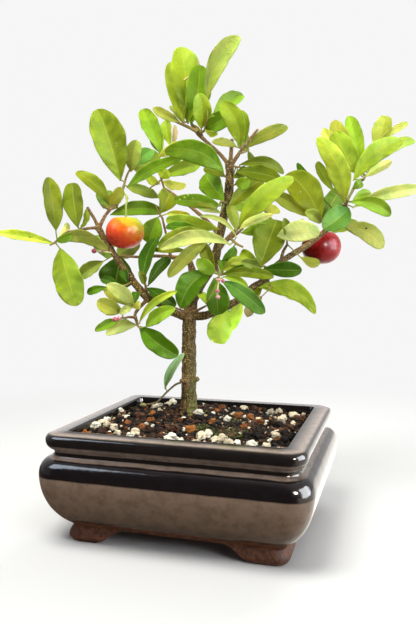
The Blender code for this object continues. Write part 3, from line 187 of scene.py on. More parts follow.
# The leaves: lengths in mm, shares of the blade's half width, turns along the blade
ROW_LENGTH = 1.3
HALF_COLUMNS = 6
SHELL = 0.16                    # half a blade's thickness
MIDRIB = 0.42                   # how far the midrib stands out underneath
FOOT_HALF = 0.39                # the least half width, in the foot's half and the tip's
TIP_HALF = 0.12
FOOT_CURVE = 0.9
FOOT_BLUNT = 0.06
TIP_CURVE = 2.3
FOLD = math.tan(math.radians(16.0))
CREASE = 0.012                  # how softly the blade folds at the midrib
WAVE = 0.13
WAVE_TURNS = 1.6
WAVE_SHIFT = 1.7
WAVE_LAG = 1.9
RIPPLE = 0.09
RIPPLE_TURNS = 3.7
RAGGED = 0.085
QUILT = 0.022                   # how far the blade swells between its veins
VEIN_PAIRS = 7
VEIN_RISE = 0.16                # how far along the blade a side vein runs before the margin
VEIN_CURVE = 1.2
MARK_THICK = 0.36               # half a mark's thickness, which shows on both sides
EDGE_RADIUS = 0.5
EDGE_TONE = (0.72, 0.50, 0.22)
UNDER_SHARE = 0.65              # the lower side's tone: this much of the upper's, and paler
UNDER_TONE = (0.09, 0.11, 0.03)

# Each leaf colour: its upper side, as light falls on it, so the tints hold painted light and shade; the
# glow tint, brighter than white in green, paints light onto leaves that hang in shade under the crown
TINTS = {
    "dark": (0.044, 0.125, 0.002), "green": (0.095, 0.229, 0.003), "olive": (0.158, 0.216, 0.007),
    "teal": (0.131, 0.316, 0.04), "bright": (0.184, 0.343, 0.008), "moss": (0.254, 0.314, 0.011),
    "khaki": (0.306, 0.343, 0.044), "lime": (0.295, 0.412, 0.019), "spring": (0.306, 0.51, 0.025),
    "mint": (0.427, 0.589, 0.039), "pale": (0.54, 0.687, 0.05), "yellow": (0.672, 0.726, 0.11),
    "cream": (0.882, 0.981, 0.34), "sage": (0.347, 0.432, 0.055), "straw": (0.427, 0.481, 0.055),
    "ice": (0.66, 0.78, 0.27), "sea": (0.36, 0.6, 0.25), "hay": (0.525, 0.61, 0.15),
    "glow": (0.84, 1.15, 0.2), "curl": (0.4, 0.33, 0.13),
}

# A leaf: its foot on the twig and its tip, as picture points; the blade's width in mm; turn, which
# rolls it about its midrib from facing the viewer, in degrees; how many mm nearer the tip is than
# the foot; its tint; and how far the midrib bends along and out of the blade's plane, in mm.
Leaf = namedtuple("Leaf", "name x y tip_x tip_y wide turn lift tint bow arch",
                  defaults=(0.0, 2.0))

SPRAYS = {}


def spray(name, twigs, *leaves):
    SPRAYS["spray_" + name] = twigs, [Leaf(*row) for row in leaves]


# Each spray: its twigs, each of knots (picture x, picture y, depth, diameter), and its leaves
spray("left", [limb((58, 240, 8, 1.8), (54, 243, 12, 1.5), (50, 245, 15, 1.2))],
    ("L1", 56, 231, 48, 177, 12.8, 14, 5, "moss"), ("L3", 55, 244, -4, 233, 7, 25, 6, "pale"),
    ("L4", 60, 248, 77, 306, 19, 6, 6, "lime", 0, 4),
    ("L6", 62, 241, 108, 249, 9, 14, 8, "khaki", -6.5, 4), ("L8", 56, 241, 73, 233, 6, 20, 6, "spring"),
    ("L8b", 58, 240, 68, 223, 5, 20, -8, "cream"))
spray("left_mid", [limb((76, 231, 6, 1.4), (79, 231, 11, 1.3), (81, 229, 14, 1.2))],
    ("L2", 78, 228, 72, 183, 14, -12, -10, "olive"), ("L9", 80, 229, 86, 209, 6, 50, 4, "lime"))
spray("upper_left", [limb((124, 185, -8, 1.8), (126, 178, -10, 1.6), (129, 171, -13, 1.4),
        (132, 167, -16, 1.2))],
    ("U1", 120.5, 181, 97.5, 109, 22.5, 6, 10, "lime", 1, 3),
    ("U4", 131, 172, 137, 140, 12, -12, 6, "sage"),
    ("U5", 127, 188, 182, 158, 8.5, -14, 12, "bright", -2, 4),
    ("U6", 133, 168, 152, 150, 11, -20, -10, "teal"))
spray("left_fork", [limb((110, 210, -2, 1.6), (105, 207, 4, 1.4), (102, 204, 7, 1.2))],
    ("U2", 110, 206, 76, 172, 9.5, 12, 3, "moss", 2.6), ("U3", 110, 205, 121, 187, 9.5, 24, 8, "straw"))
spray("behind_fruit", [limb((115, 202, -6, 1.4), (117, 206, -11, 1.3), (118, 210, -15, 1.1))],
    ("C25", 110, 215, 162, 212, 10.5, -8, -13, "bright", -3.2, 3),
    ("B1", 117, 208, 98, 190, 14, 190, -22, "green"))
spray("crown_left", [limb((164, 188, -40, 1.8), (161, 178, -42, 1.6), (158, 167, -44, 1.4),
        (160, 156, -46, 1.2)), limb((161, 180, -41, 1.4), (156, 184, -37, 1.2), (150, 188, -34, 1.0))],
    ("U8", 160, 152, 143, 109, 14, 10, -4, "spring"),
    ("U13", 161, 154, 155, 127, 12, -8, -10, "spring"),
    ("U10", 171, 147, 166, 120, 9, -20, -20, "lime"), ("U10b", 172, 148, 175, 125, 4, 20, -12, "curl"),
    ("U11", 158, 157, 178, 142, 7, 20, 4, "yellow"), ("U5b", 163, 176, 200, 164, 11, -15, -6, "lime"),
    ("U7", 159, 166, 146, 150, 9, 40, 14, "mint"), ("C1", 160, 198, 127, 186, 8.5, 20, 6, "sage"),
    ("C2", 160, 184, 148, 174, 9, -40, -4, "pale"), ("C3", 161, 178, 167, 169, 10, 10, 3, "pale"),
    ("C4", 162, 181, 186, 185, 9, 40, 8, "cream"), ("B2", 159, 162, 132, 166, 15, 200, -30, "moss"))
spray("crown_mid", [limb((227, 203, 4, 1.4), (224, 202, 9, 1.3), (221, 201, 13, 1.2))],
    ("M1", 224, 201, 205, 174, 15.5, -8, -15, "bright"),
    ("C13", 227, 210, 263, 180, 10, -10, -12, "moss", -2),
    ("C8", 221, 206, 173, 200, 9.5, -12, 8, "bright", 2, 3),
    ("C8b", 217, 209, 190, 206, 3.5, 20, 4, "moss", 1), ("C33", 221, 213, 198, 208, 4.5, 20, 5, "hay"))
spray("leader", [limb((228, 180, 3, 1.5), (226, 177, 8, 1.3), (224, 175, 12, 1.2))],
    ("U12", 224, 172, 165, 150, 15, -8, 12, "bright", 7, 3),
    ("M2", 225, 177, 204, 168, 10, 30, -4, "olive"))
spray("leader_right", [limb((231, 185, 3, 1.3), (234, 185, 7, 1.2), (236, 184, 10, 1.0))],
    ("E15", 235, 184, 250, 180, 9, 20, 4, "spring"))
spray("knob", [limb((233, 166, 1, 1.5), (237, 167, 6, 1.4), (240, 167, 9, 1.2))],
    ("E13", 239, 165, 284, 173, 8, -12, -6, "olive", -3.6, 4),
    ("E14", 236, 172, 281, 180, 11, -12, 8, "olive", -1.5),
    ("E36", 233, 178, 246, 168, 7, 15, -6, "olive"))
spray("top", [limb((192, 125, -4, 1.8), (190, 119, -6, 1.6), (189, 112, -9, 1.3)),
        limb((190, 120, -5, 1.4), (186, 122, 0, 1.3), (182, 123, 3, 1.1)), limb((196, 131, -1, 2.4),
        (188, 127, -2, 2.2), (180, 123.5, -3, 1.8), (174, 121, -4, 1.4))],
    ("T1", 188, 124, 181, 47, 20.5, 4, -2, "lime", 1, 3),
    ("T1b", 184, 121, 171, 62, 14, -6, -10, "moss"), ("T11", 184, 124, 170, 106, 5, 20, -12, "sage"),
    ("U9", 180, 122, 153, 108, 7, 20, -2, "khaki", -1.5))
spray("top_mid", [limb((200, 133, -3, 1.8), (204, 131, 0, 1.6), (206, 125, 5, 1.4),
        (208, 118, 9, 1.2))],
    ("T2", 191, 124, 200, 65, 17, -6, 4, "bright", 1.5),
    ("T3", 206, 102, 239, 36, 13, 6, 2, "sage", -6, 3),
    ("T4", 201, 129, 199, 93, 12.5, 10, 15, "mint", 1.5),
    ("T5", 212, 117, 243, 95, 10.5, -12, -14, "spring", -1.5),
    ("T6", 205, 131, 232, 113, 12.5, -10, 10, "bright"), ("T10", 205, 129, 218, 133, 5, 50, 12, "pale"))
spray("top_right", [limb((246, 144, 5, 1.6), (243, 145, 11, 1.4), (241, 148, 15, 1.2))],
    ("T7", 240, 147, 222, 101, 13, -8, 6, "lime", 4), ("T9", 237, 147, 212, 142, 6, 30, 8, "khaki"))
spray("top_back", [limb((239, 154, 2, 1.4), (245, 152, -8, 1.3), (249, 150, -14, 1.1))],
    ("T7b", 245, 142, 241, 110, 8, 10, -2, "lime", 0.5),
    ("T8", 247, 148, 288, 127, 9.5, -12, 6, "khaki", -2),
    ("B3", 248, 151, 258, 177, 6, 190, -32, "lime"), ("B4", 246, 152, 236, 122, 10, 170, -32, "bright"))
spray("middle", [limb((218, 239, 3, 1.6), (215, 235, 11, 1.4), (212, 233, 15, 1.2))],
    ("C15", 211, 235, 158, 246, 11, 8, 2, "moss", 3, 3),
    ("C16", 219, 229, 166, 220, 10.5, -12, -10, "mint", 1.8, 3),
    ("C34", 204, 232, 166, 227, 6.5, 15, -14, "green", 1),
    ("C18", 209, 240, 168, 277, 9.5, 15, 8, "khaki", 1, 3),
    ("C35", 188, 251, 153, 250, 4.5, 15, -12, "moss"),
    ("C19", 205, 248, 176, 270, 6, 20, -4, "olive", 1))
spray("spur", [limb((239, 232, 11, 1.8), (241, 230, 15, 1.6), (243, 229, 19, 1.3)),
        limb((231, 239, 8, 2.0), (237, 244, 12, 1.8), (243, 247, 14, 1.4))],
    ("C12", 238, 228, 293, 177, 13.5, 12, 14, "mint", -5, 4),
    ("C11", 240, 229, 273, 214, 5.5, 12, 18, "cream", -2.2, 3),
    ("C32", 236, 231, 229, 205, 8, 15, -8, "sage"), ("C10", 237, 238, 199, 216, 3.4, 10, 8, "hay", 4.6),
    ("C14", 231, 245, 160, 249, 9.5, 12, 20, "hay", 5.5, 4),
    ("E11", 241, 233, 266, 225, 8, 15, -2, "spring"), ("E30", 222, 261, 236, 248, 7, 15, -2, "green"))
spray("rear", [limb((122, 256, -29, 1.6), (117, 256, -31, 1.4), (112, 256, -33, 1.2))],
    ("C26", 121, 256, 115, 288, 26, 8, -4, "dark"), ("C27", 104, 261, 80, 277, 10.5, 15, -4, "sage"),
    ("B5", 113, 256, 92, 238, 14, 160, -20, "bright"),
    ("B14", 118, 256, 140, 240, 15, 190, -20, "moss"))
spray("rear_up", [limb((161, 216, -13, 1.4), (158, 211, -13, 1.3), (156, 206, -13, 1.1))],
    ("C6", 160, 213, 170, 193, 15, 12, -12, "moss"), ("C23", 158, 217, 148, 243, 15, 6, -1, "bright"),
    ("C7", 166, 214, 190, 215, 5, 10, 6, "yellow", -1))
spray("knuckle", [limb((147, 292, 9, 2.0), (146, 288, 13, 1.8), (145, 283, 17, 1.5))],
    ("C20", 148, 286, 170, 258, 8, 12, -6, "dark", -2.5),
    ("C21", 143, 284, 157, 238, 9.5, -12, -15, "dark", -2.5),
    ("C22", 144, 284, 139, 271, 5, 20, 8, "olive"), ("D11", 147, 288, 176, 306, 9, -8, 0, "dark"))
spray("left_low", [limb((132, 282, 8, 1.5), (126, 285, 13, 1.3), (121, 286, 16, 1.1))],
    ("D1", 107, 287, 87, 293, 5.5, 12, -2, "green"), ("D2", 119, 286, 101, 279, 6, 15, -6, "dark"),
    ("D13", 128, 283, 123, 269, 6, -10, -6, "dark"))
spray("down", [limb((138, 309, 13, 1.5), (135, 307, 17, 1.3), (132, 305, 20, 1.2))],
    ("D3", 134, 306, 107, 284, 9.5, -10, 6, "hay", 2.4, 3),
    ("D3b", 131, 306, 104, 288, 7, 14, -6, "straw", -1), ("D5", 134, 308, 139, 301, 5, 20, 6, "yellow"),
    ("D16", 133, 306, 120, 314, 5, 15, 3, "hay"), ("D12", 134, 305, 137, 292, 6, -15, -8, "dark"))
spray("knuckle_end", [limb((124, 318, 16, 1.4), (121, 318, 20, 1.3), (118, 319, 23, 1.1))],
    ("D4", 123, 312, 97, 301, 10.5, -8, 4, "straw"), ("D6a", 118, 320, 95, 331, 6, 12, 8, "bright"),
    ("D6", 137, 325, 106, 334, 9, 12, -2, "hay", 2))
spray("low", [limb((137, 323, 16, 1.8), (138, 326, 19, 1.6), (140, 328, 23, 1.3))],
    ("D7", 139, 324, 177, 291, 5, 12, 5, "pale", -5, 3),
    ("D8", 146, 327, 175, 308, 9.2, -10, 12, "spring", -1.5, 3),
    ("D9", 139, 326, 178, 356, 13.5, 8, 2, "green", 1, 4))
spray("hang", [limb((219, 274.4, 14, 1.6), (219, 277, 20, 1.5), (220, 279, 25, 1.3))],
    ("E1", 212, 271, 180, 308, 16, 8, 6, "green", 4, 4),
    ("E32", 206, 304, 199, 293, 5.5, 20, -6, "lime"),
    ("E4", 214, 278, 218, 315, 15.5, -8, -4, "green", 0, 3),
    ("E5", 222, 281, 265, 313, 11, 10, 12, "teal", -2.5, 4),
    ("E6", 222, 275, 274, 277, 7.5, -14, 16, "olive", -1.5, 3),
    ("E6b", 226, 272, 262, 270, 5, -20, 6, "dark", -1),
    ("E31", 223, 277, 248, 287, 5, -15, 4, "lime", -1),
    ("E2", 215, 273, 197, 259, 9.5, -10, 10, "spring"), ("E3", 215, 270, 203, 244, 9, -15, -14, "moss"),
    ("C36", 222, 274, 220, 260, 6, 20, -14, "bright"), ("E7", 222, 270, 241, 259, 9, 12, -6, "pale"))
spray("back", [limb((252, 214, -46, 1.8), (256, 208, -50, 1.6), (260, 203, -54, 1.3)),
        limb((256, 208, -50, 1.4), (262, 210, -56, 1.2), (268, 213, -60, 1.0))],
    ("B6", 258, 205, 250, 168, 15, 160, -10, "bright"),
    ("B7", 260, 203, 284, 184, 15, 200, -22, "olive"),
    ("E12", 262, 206, 280, 213, 7, -15, 10, "yellow"),
    ("B8", 266, 212, 262, 246, 16, 165, -18, "green"),
    ("B9", 258, 206, 226, 196, 15, 190, -20, "spring"),
    ("B10", 267, 213, 276, 249, 11, 180, -14, "lime"))
spray("right_low", [limb((268, 280, 9, 1.6), (270, 284, 14, 1.4), (271, 287, 18, 1.2))],
    ("E26", 257, 288, 316, 313, 11.5, 8, 4, "mint", -9.2, 3),
    ("E34", 257, 286, 300, 299, 9, -20, -6, "pale", -1.5),
    ("E28", 262, 296, 247, 317, 9, 35, 6, "curl"), ("E35", 264, 282, 254, 297, 8, 25, -4, "lime"))
spray("right_under", [limb((227, 308, 7, 1.6), (229, 312, 3, 1.4), (230, 316, 0, 1.2))],
    ("E27", 227, 305, 216, 343, 17, 6, -14, "glow", 0, 3),
    ("E33", 243, 302, 230, 330, 10, 20, -4, "glow"),
    ("B15", 229, 314, 222, 337, 10, 190, -20, "yellow"))
spray("right_mid", [limb((272, 270, 9, 1.6), (268, 268, 14, 1.5), (264, 266, 19, 1.3))],
    ("E10", 260, 267, 277, 220, 21.5, -6, -12, "olive", 0, 3),
    ("E20", 263, 269, 302, 270, 10.5, 6, 8, "dark"), ("E8", 262, 267, 241, 252, 9, -12, -10, "lime"),
    ("E8b", 250, 264, 224, 262, 6, 20, -12, "sage"), ("E9", 261, 268, 241, 262, 7, 12, 12, "olive"))
spray("right_fore", [limb((287, 244, 10, 1.6), (287, 241, 15, 1.4), (287, 238, 20, 1.2))],
    ("E19", 277, 236, 320, 231, 13.5, 8, 6, "ice", -2, 3),
    ("E23", 289, 233, 304, 220, 6, 20, -4, "mint"),
    ("E24", 300, 257, 319, 265, 7, 20, -10, "straw", -1),
    ("E22", 287, 238, 284, 218, 6, 20, 6, "olive"))
spray("right_back", [limb((329, 225, -2, 1.6), (325, 221, -7, 1.5), (321, 218, -12, 1.3))],
    ("E16", 321, 221, 288, 173, 21.5, 8, -8, "moss", 3, 3),
    ("E17", 308, 217, 274, 195, 10.5, -12, -16, "straw", 2),
    ("E18", 321, 223, 305, 212, 9, 30, 8, "sage"), ("B11", 322, 219, 342, 186, 15, 170, -22, "green"),
    ("B12", 323, 219, 352, 228, 14, 190, -26, "pale"))
spray("right", [limb((346, 205, -1, 1.8), (347, 203, 5, 1.7), (348, 200, 11, 1.4))],
    ("R1", 344, 203, 318, 137, 14.5, -8, 14, "pale", 6, 4),
    ("R13", 352, 189, 361, 181, 6.5, 15, -2, "bright"),
    ("R14", 352, 208, 424, 188, 9, 14, 16, "ice", -4, 3),
    ("R18", 352, 202, 371, 193, 6, -12, -6, "spring", -1.5),
    ("R15", 349, 202, 391, 215, 10, 10, 0, "spring", -4.5, 3),
    ("R16", 349, 208, 323, 229, 16, 4, 10, "teal", -1),
    ("R10", 334, 192, 317, 162, 7, -14, -14, "olive"))
spray("right_inner", [limb((336, 216, -3, 1.4), (334, 212, -9, 1.3), (332, 208, -14, 1.1))],
    ("R11", 326, 202, 297, 163, 6.5, -14, -4, "green"))
spray("right_top", [limb((364, 179, -6, 1.5), (366, 176, -8.5, 1.3), (368, 173, -11.5, 1.2))],
    ("R3", 358, 174, 334, 132, 17, -8, 4, "mint", 0, 3),
    ("R3a", 360, 173, 333, 121, 14, -12, -18, "straw"),
    ("R19", 347, 163, 323, 129, 9, -10, -16, "yellow"),
    ("R4", 362, 169, 349, 116, 11, 10, -10, "spring"),
    ("R5", 353, 181, 402, 140, 14, 8, 6, "mint", -6, 4),
    ("R6", 377, 152, 386, 116, 13, -10, -14, "straw"),
    ("R7", 376, 143, 408, 123, 5.5, 15, -18, "yellow", -1.5),
    ("R8", 375, 164, 415, 141, 8, 10, -12, "mint", -4.5),
    ("R9", 365, 177, 392, 161, 6.5, 15, 6, "cream", -1.2))
spray("right_down", [limb((341, 211, -3, 1.4), (342, 218, -14, 1.3), (343, 221, -18, 1.1))],
    ("R17", 345, 225, 384, 247, 13.5, 10, 4, "hay", -3.8, 3),
    ("B13", 343, 220, 368, 237, 10, 190, -24, "lime"))
# Sprays that the record gives the lighter leaf slot
LIGHT_SPRAYS = ("spray_top", "spray_top_mid", "spray_crown_left", "spray_right_top", "spray_spur",
    "spray_right_under", "spray_left", "spray_right")
NEAR = {"C8": 10}               # a leaf's depth in mm, where it isn't its twig's
# Marks on a leaf: (place along, place across, width in mm, tone)
SPOTS = {
    "L3": ((0.45, 0.1, 1.3, (0.06, 0.12, 0.01)), (0.62, -0.3, 0.8, (0.1, 0.14, 0.02))),
    "U1": ((0.5, 0.35, 0.9, (0.6, 0.55, 0.25)), (0.44, 0.3, 0.7, (0.6, 0.55, 0.25))),
    "C8": ((0.8, 0.5, 2.2, (0.6, 0.62, 0.12)), (0.88, 0.1, 2.0, (0.62, 0.6, 0.12)),
           (0.72, 0.8, 1.6, (0.58, 0.6, 0.12)), (0.66, 0.3, 1.3, (0.55, 0.58, 0.12))),
    "C15": ((0.42, 0.4, 1.4, (0.1, 0.24, 0.1)), (0.55, 0.6, 1.8, (0.1, 0.24, 0.1))),
    "E16": ((0.58, -0.3, 0.9, (0.75, 0.75, 0.6)),),
    "R17": ((0.46, -0.35, 2.0, (0.03, 0.02, 0.01)),),
}
# A tan line at a leaf's edge through (place along, place across)
EDGES = {
    "T1": ((0.55, -0.15), (0.57, 0.2), (0.62, 0.5), (0.69, 0.8), (0.76, 1.0)),
}
LOW_TWIG = limb((184, 381, 6, 1.6), (175, 385, 9, 1.4), (168, 391, 12, 1.3), (162, 397, 15, 1.2),
                (157, 402, 18, 1.2), (150, 404, 21, 1.1), (143, 405, 24, 1.0))
LOW_LEAF = Leaf("G1", 165, 389, 184, 353, 5.6, 14, 4, "sea", -3.4, 3)
LOW_TWIG_TINT = (0.085, 0.050, 0.028)
LOW_BUD_TINT = (0.20, 0.17, 0.07)

# The fruit: its middle, width and height, its stalk, and its skin's colours from its ripest
# side to its palest, which lies towards paler and run mm away. On the red fruit the dark left side is
# partly painted shade and the pink right side partly a painted highlight.
FRUIT_STALK = (0.32, 0.36, 0.10)
FRUIT_KNOB = (0.34, 0.30, 0.12)
FRUIT_LOBES = 3
FRUIT_AROUND = 64
FRUIT_DOWN = 40
FRUIT = {
    "fruit_orange": dict(
        centre=(125, 232, 5), wide=26.0, tall=23.0,
        stalk=limb((122, 192, -7, 1.5), (127, 197, -2, 1.7), (126, 207, 2, 1.3), (126, 220, 5, 1.4)),
        paler=RIGHT * 0.55 + UP * 0.80 - FORWARD * 0.15, run=26, streaks=0.45,
        skin=((0.12, (0.38, 0.026, 0.012)), (0.42, (0.48, 0.050, 0.012)),
              (0.62, (0.52, 0.12, 0.010)), (0.80, (0.43, 0.27, 0.012)), (0.97, (0.26, 0.32, 0.018))),
        dots=0.22, dot_tone=(0.75, 0.42, 0.08)),
    # Skin from dark maroon on the left to pink on the right: its own red, with painted shade on the
    # left and a painted highlight on the right
    "fruit_red": dict(
        centre=(321, 247, -17), wide=28.0, tall=25.0,
        stalk=limb((310, 242, 1, 1.5), (310, 235, -7, 1.3), (316, 229, -14, 1.3),
                   (320, 236, -17, 1.4)),
        paler=RIGHT * 0.9 + UP * 0.3, run=30, streaks=0.35,
        skin=((0.05, (0.050, 0.001, 0.001)), (0.5, (0.20, 0.005, 0.005)),
              (0.95, (0.42, 0.038, 0.042))),
        dots=0.2, dot_tone=(0.55, 0.16, 0.16)),
}

# The bud clusters: a stalk, and each bud's (picture x, picture y, depth, width in mm)
BUDS = {
    "buds_left": (limb((113, 253, 5, 1.1), (106, 252, 9, 1.0), (97, 251, 11, 0.9)),
                  ((94, 251, 12, 3.4), (103, 250, 11, 3.0))),
    "buds_low": (limb((119, 318.6, 22, 1.1), (117, 320, 27, 1.0), (115, 320, 29, 0.9)),
                 ((115, 319.5, 30, 3.2), (119, 318, 29, 2.6))),
    "buds_mid": (limb((220, 279, 24.6, 1.1), (218, 286, 31, 1.0), (217, 296, 33, 0.9)),
                 ((223, 281, 32, 2.4), (218, 280, 33, 2.2), (217.5, 291, 34, 2.6),
                  (218, 297, 33, 2.8))),
}
BUD_TINTS = ((0.28, 0.020, 0.040), (0.50, 0.17, 0.20), (0.38, 0.07, 0.10), (0.48, 0.20, 0.19))
BUD_STALK = (0.42, 0.40, 0.16)
BUD_STEM = (0.45, 0.40, 0.16)
SEPAL = (0.28, 0.36, 0.10)

# The soil, in mm
SOIL_EDGE_Z = 61.4
SOIL_MOUND = 3.8
MOUND_FLAT = 22.0
MOUND_REACH = 62.0
BED_CELL = 1.1
BED_DROP = 1.2                  # how far the bed lies under the smooth surface
BED_TINT = (0.020, 0.014, 0.009)
CRUMB = 1.5                     # how high its crumbs are
GRAIN_DROP = 0.9
GRAIN_COUNT = 3000
TRUNK_ROOM = 6.5                # no loose grain lies nearer the trunk's middle
STONE_RISE = 0.45               # how far a placed stone stands above the others
STONE_GROWTH = 1.16
# Loose grains: (name, share, least and greatest width in mm, tones, flatness)
GRIT = (
    ("grit_dark", 0.64, (0.8, 3.8), ((0.008, 0.005, 0.003), (0.014, 0.008, 0.004),
                                     (0.034, 0.018, 0.008), (0.004, 0.003, 0.003),
                                     (0.018, 0.015, 0.012)), 0.8),
    ("pumice", 0.06, (1.2, 2.8), ((0.50, 0.43, 0.30), (0.62, 0.585, 0.47),
                                  (0.30, 0.23, 0.12)), 0.9),
    ("baked_clay", 0.12, (0.8, 2.8), ((0.15, 0.052, 0.014), (0.24, 0.088, 0.020),
                                      (0.085, 0.034, 0.015)), 0.85),
    ("bark_bits", 0.18, (1.6, 5.6), ((0.045, 0.020, 0.011), (0.070, 0.032, 0.017),
                                     (0.024, 0.012, 0.008)), 0.35),
)
# The bigger stones as (picture x, picture y, width in mm)
STONES = {
    "pumice": ((84, 424, 3.6), (90, 421, 3.0), (94, 426, 4.2), (101, 423, 4.4), (106, 420, 3.4),
        (107, 426, 3.8), (114, 429, 4.4), (118, 433, 3.4), (135, 433, 4.8), (139, 438, 3.2),
        (130, 436, 3.4), (155, 411, 4.4), (160, 409, 3.2), (168, 408, 4.0), (176, 403, 5.2),
        (171, 439, 5.4), (181, 441, 3.2), (196, 441, 4.2), (201, 437, 5.4), (208, 436, 4.6),
        (205, 443, 3.6), (214, 440, 4.2), (222, 440, 4.6), (229, 443, 5.0), (237, 442, 3.6),
        (199, 419, 4.2), (227, 422, 4.8), (233, 418, 3.2), (244, 410, 4.6), (252, 445, 4.2),
        (259, 420, 3.4), (266, 447, 3.8), (270, 440, 2.8), (271, 413, 4.2), (276, 435, 3.8),
        (277, 430, 2.6), (279, 412, 4.6), (282, 421, 5.2), (293, 423, 2.8), (294, 416, 4.4),
        (120, 413, 3.4), (127, 418, 2.8), (146, 426, 3.0)),
    "baked_clay": ((142, 429, 4.6), (153, 419, 4.2), (150, 424, 3.2), (191, 432, 4.6), (217, 416, 4.2),
        (222, 413, 3.6), (238, 419, 4.2), (250, 420, 3.8), (260, 423, 3.6), (161, 441, 3.6),
        (128, 425, 3.4), (110, 435, 3.6), (86, 434, 4.4), (97, 434, 3.2), (213, 425, 3.0),
        (244, 428, 3.2), (180, 424, 3.0), (263, 407, 3.0)),
    "bark_bits": ((254, 411, 5.0), (300, 418, 5.0), (290, 428, 5.4), (254, 424, 4.0), (176, 432, 4.4),
        (140, 420, 4.4), (102, 431, 4.4)),
    "grit_dark": ((280, 426, 4.6), (264, 411, 4.2), (285, 434, 4.4), (262, 431, 4.6), (273, 424, 4.4),
        (291, 438, 4.6), (256, 436, 4.6), (284, 441, 4.4), (158, 432, 4.4), (120, 421, 4.2),
        (266, 418, 4.2), (247, 436, 4.2)),
}
# Patches of moss, also as (picture x, picture y, width in mm)
MOSS = ((206, 429, 14), (220, 434, 16), (236, 432, 16), (250, 434, 13), (236, 422, 8),
        (206, 416, 7))
MOSS_TUFTS = 620 / 600          # for each square mm of a patch's width squared
MOSS_TONES = ((0.022, 0.026, 0.006), (0.045, 0.052, 0.010), (0.012, 0.014, 0.005),
              (0.11, 0.115, 0.020))

# The stage
FLOOR_REACH = 30.0              # m
BACKDROP = (0.922, 0.922, 0.922)
FLOOR_DARK = (0.16, 0.13, 0.11)          # what the glaze mirrors in front of the pot: the floor's glow in glossy rays only, a painted reflection, dark here
FLOOR_PALE = (2.0, 1.94, 1.82)           # and behind it on the right, where the painted reflection glows bright
ROOM_DARK = (0.075, 0.07, 0.065)         # the room in front of the object
ROOM_PALE = (0.62, 0.62, 0.62)           # the paper behind and beside it
MIRRORED_ROOM = 1.6                      # how much brighter the glaze mirrors the room
LAMP_TARGET = Vector((0, 0, 130))
# Soft square lamps: (name, place in mm, width in m, watts, colour, shows in gloss, lights)
LAMPS = (
    ("key", (-160, -300, 780), 0.44, 11.4, (1.0, 0.99, 0.94), False, True),
    ("left", (-620, -260, 260), 0.75, 0.6, (0.74, 0.86, 1.0), True, True),
    ("right", (620, -420, 360), 0.30, 3.6, (0.97, 0.98, 1.0), False, True),
    ("glint", (430, -470, 330), 0.12, 6.0, (1.0, 0.98, 0.97), True, False),
    ("pane", (700, -60, 300), 0.60, 24.0, (0.74, 0.87, 1.0), True, False),
    ("window", (-500, -430, 560), 0.34, 4.6, (0.58, 0.77, 1.0), True, False),
    ("back", (160, 560, 620), 0.5, 6.5, (1.0, 1.0, 0.95), False, True),
)


# Lines and surfaces

def nearest_on(line, x, y):
    """By how much a line's nearest picture point misses (x, y), and its place."""
    hits = []
    for (start, _), (stop, _) in zip(line, line[1:]):
        for step in range(LINE_STEPS + 1):
            place = start.lerp(stop, step / LINE_STEPS)
            offset = place - VIEW_EYE
            reach = offset.dot(FORWARD)
            u = VIEW_CENTRE[0] + VIEW_FOCAL * offset.dot(RIGHT) / reach
            v = VIEW_CENTRE[1] - VIEW_FOCAL * offset.dot(UP) / reach
            hits.append((math.hypot(u - x, v - y), place))
    return min(hits, key=lambda hit: hit[0])


def point_along(line, share):
    """The place at a share of a line's length."""
    runs = [(stop - start).length for (start, _), (stop, _) in zip(line, line[1:])]
    left = share * sum(runs)
    for k, run in enumerate(runs):
        if left <= run:
            return line[k][0].lerp(line[k + 1][0], left / run)
        left -= run
    return line[-1][0]


def surface_of(node):
    """A CAD node's surface, in mm about the pot's middle."""
    mesh = bmesh.new()
    mesh.from_mesh(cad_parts[node].data)
    mesh.transform(Matrix.Translation(-SHIFT) @ Matrix.Scale(1 / MM, 4))
    surface = BVHTree.FromBMesh(mesh)
    mesh.free()
    return surface


def room_at(surface, place):
    """How far a place lies outside a surface, negative inside it."""
    near, normal, _, away = surface.find_nearest(place)
    return math.copysign(away, (place - near).dot(normal))


def seated(line):
    """The line from where its whole section has come clear of the tree's solid."""
    end = line[-1][0]
    for (start, radius), (stop, last_radius) in zip(line, line[1:]):
        heading = (stop - start).normalized()
        side = heading.orthogonal().normalized()
        steps = math.ceil((stop - start).length / SEAT_STEP)
        for step in range(steps):
            place = start.lerp(stop, step / steps)
            here = radius + (last_radius - radius) * step / steps
            section = [place] + [place + Matrix.Rotation(math.tau * i / 8, 3, heading) @ side * here
                                 for i in range(8)]
            if min(room_at(tree_surface, spot) for spot in section) >= GAP:
                left = (place - end).length - KNOT_ROOM
                return [(place, here)] + [knot for knot in line if (knot[0] - end).length < left]
    return line


def curve_through(knots, steps):
    """Points on a smooth curve through the knots (point, radius)."""
    line = []
    last = len(knots) - 1
    for k in range(last):
        a, b, c, d = (knots[min(max(i, 0), last)] for i in range(k - 1, k + 3))
        for i in range(steps):
            t = i / steps
            place = 0.5 * (2 * b[0] + (c[0] - a[0]) * t
                           + (2 * a[0] - 5 * b[0] + 4 * c[0] - d[0]) * t ** 2
                           + (3 * b[0] - a[0] - 3 * c[0] + d[0]) * t ** 3)
            line.append((place, b[1] + (c[1] - b[1]) * t))
    return line + [knots[last]]


def ring_faces(points, around):
    """The faces of a closed body through rings, from its foot to its top."""
    faces = []
    for low in range(0, len(points) - around, around):
        for i in range(around):
            j = (i + 1) % around
            faces.append((low + i, low + j, low + around + j, low + around + i))
    return faces + [tuple(reversed(range(around))), tuple(range(len(points) - around, len(points)))]


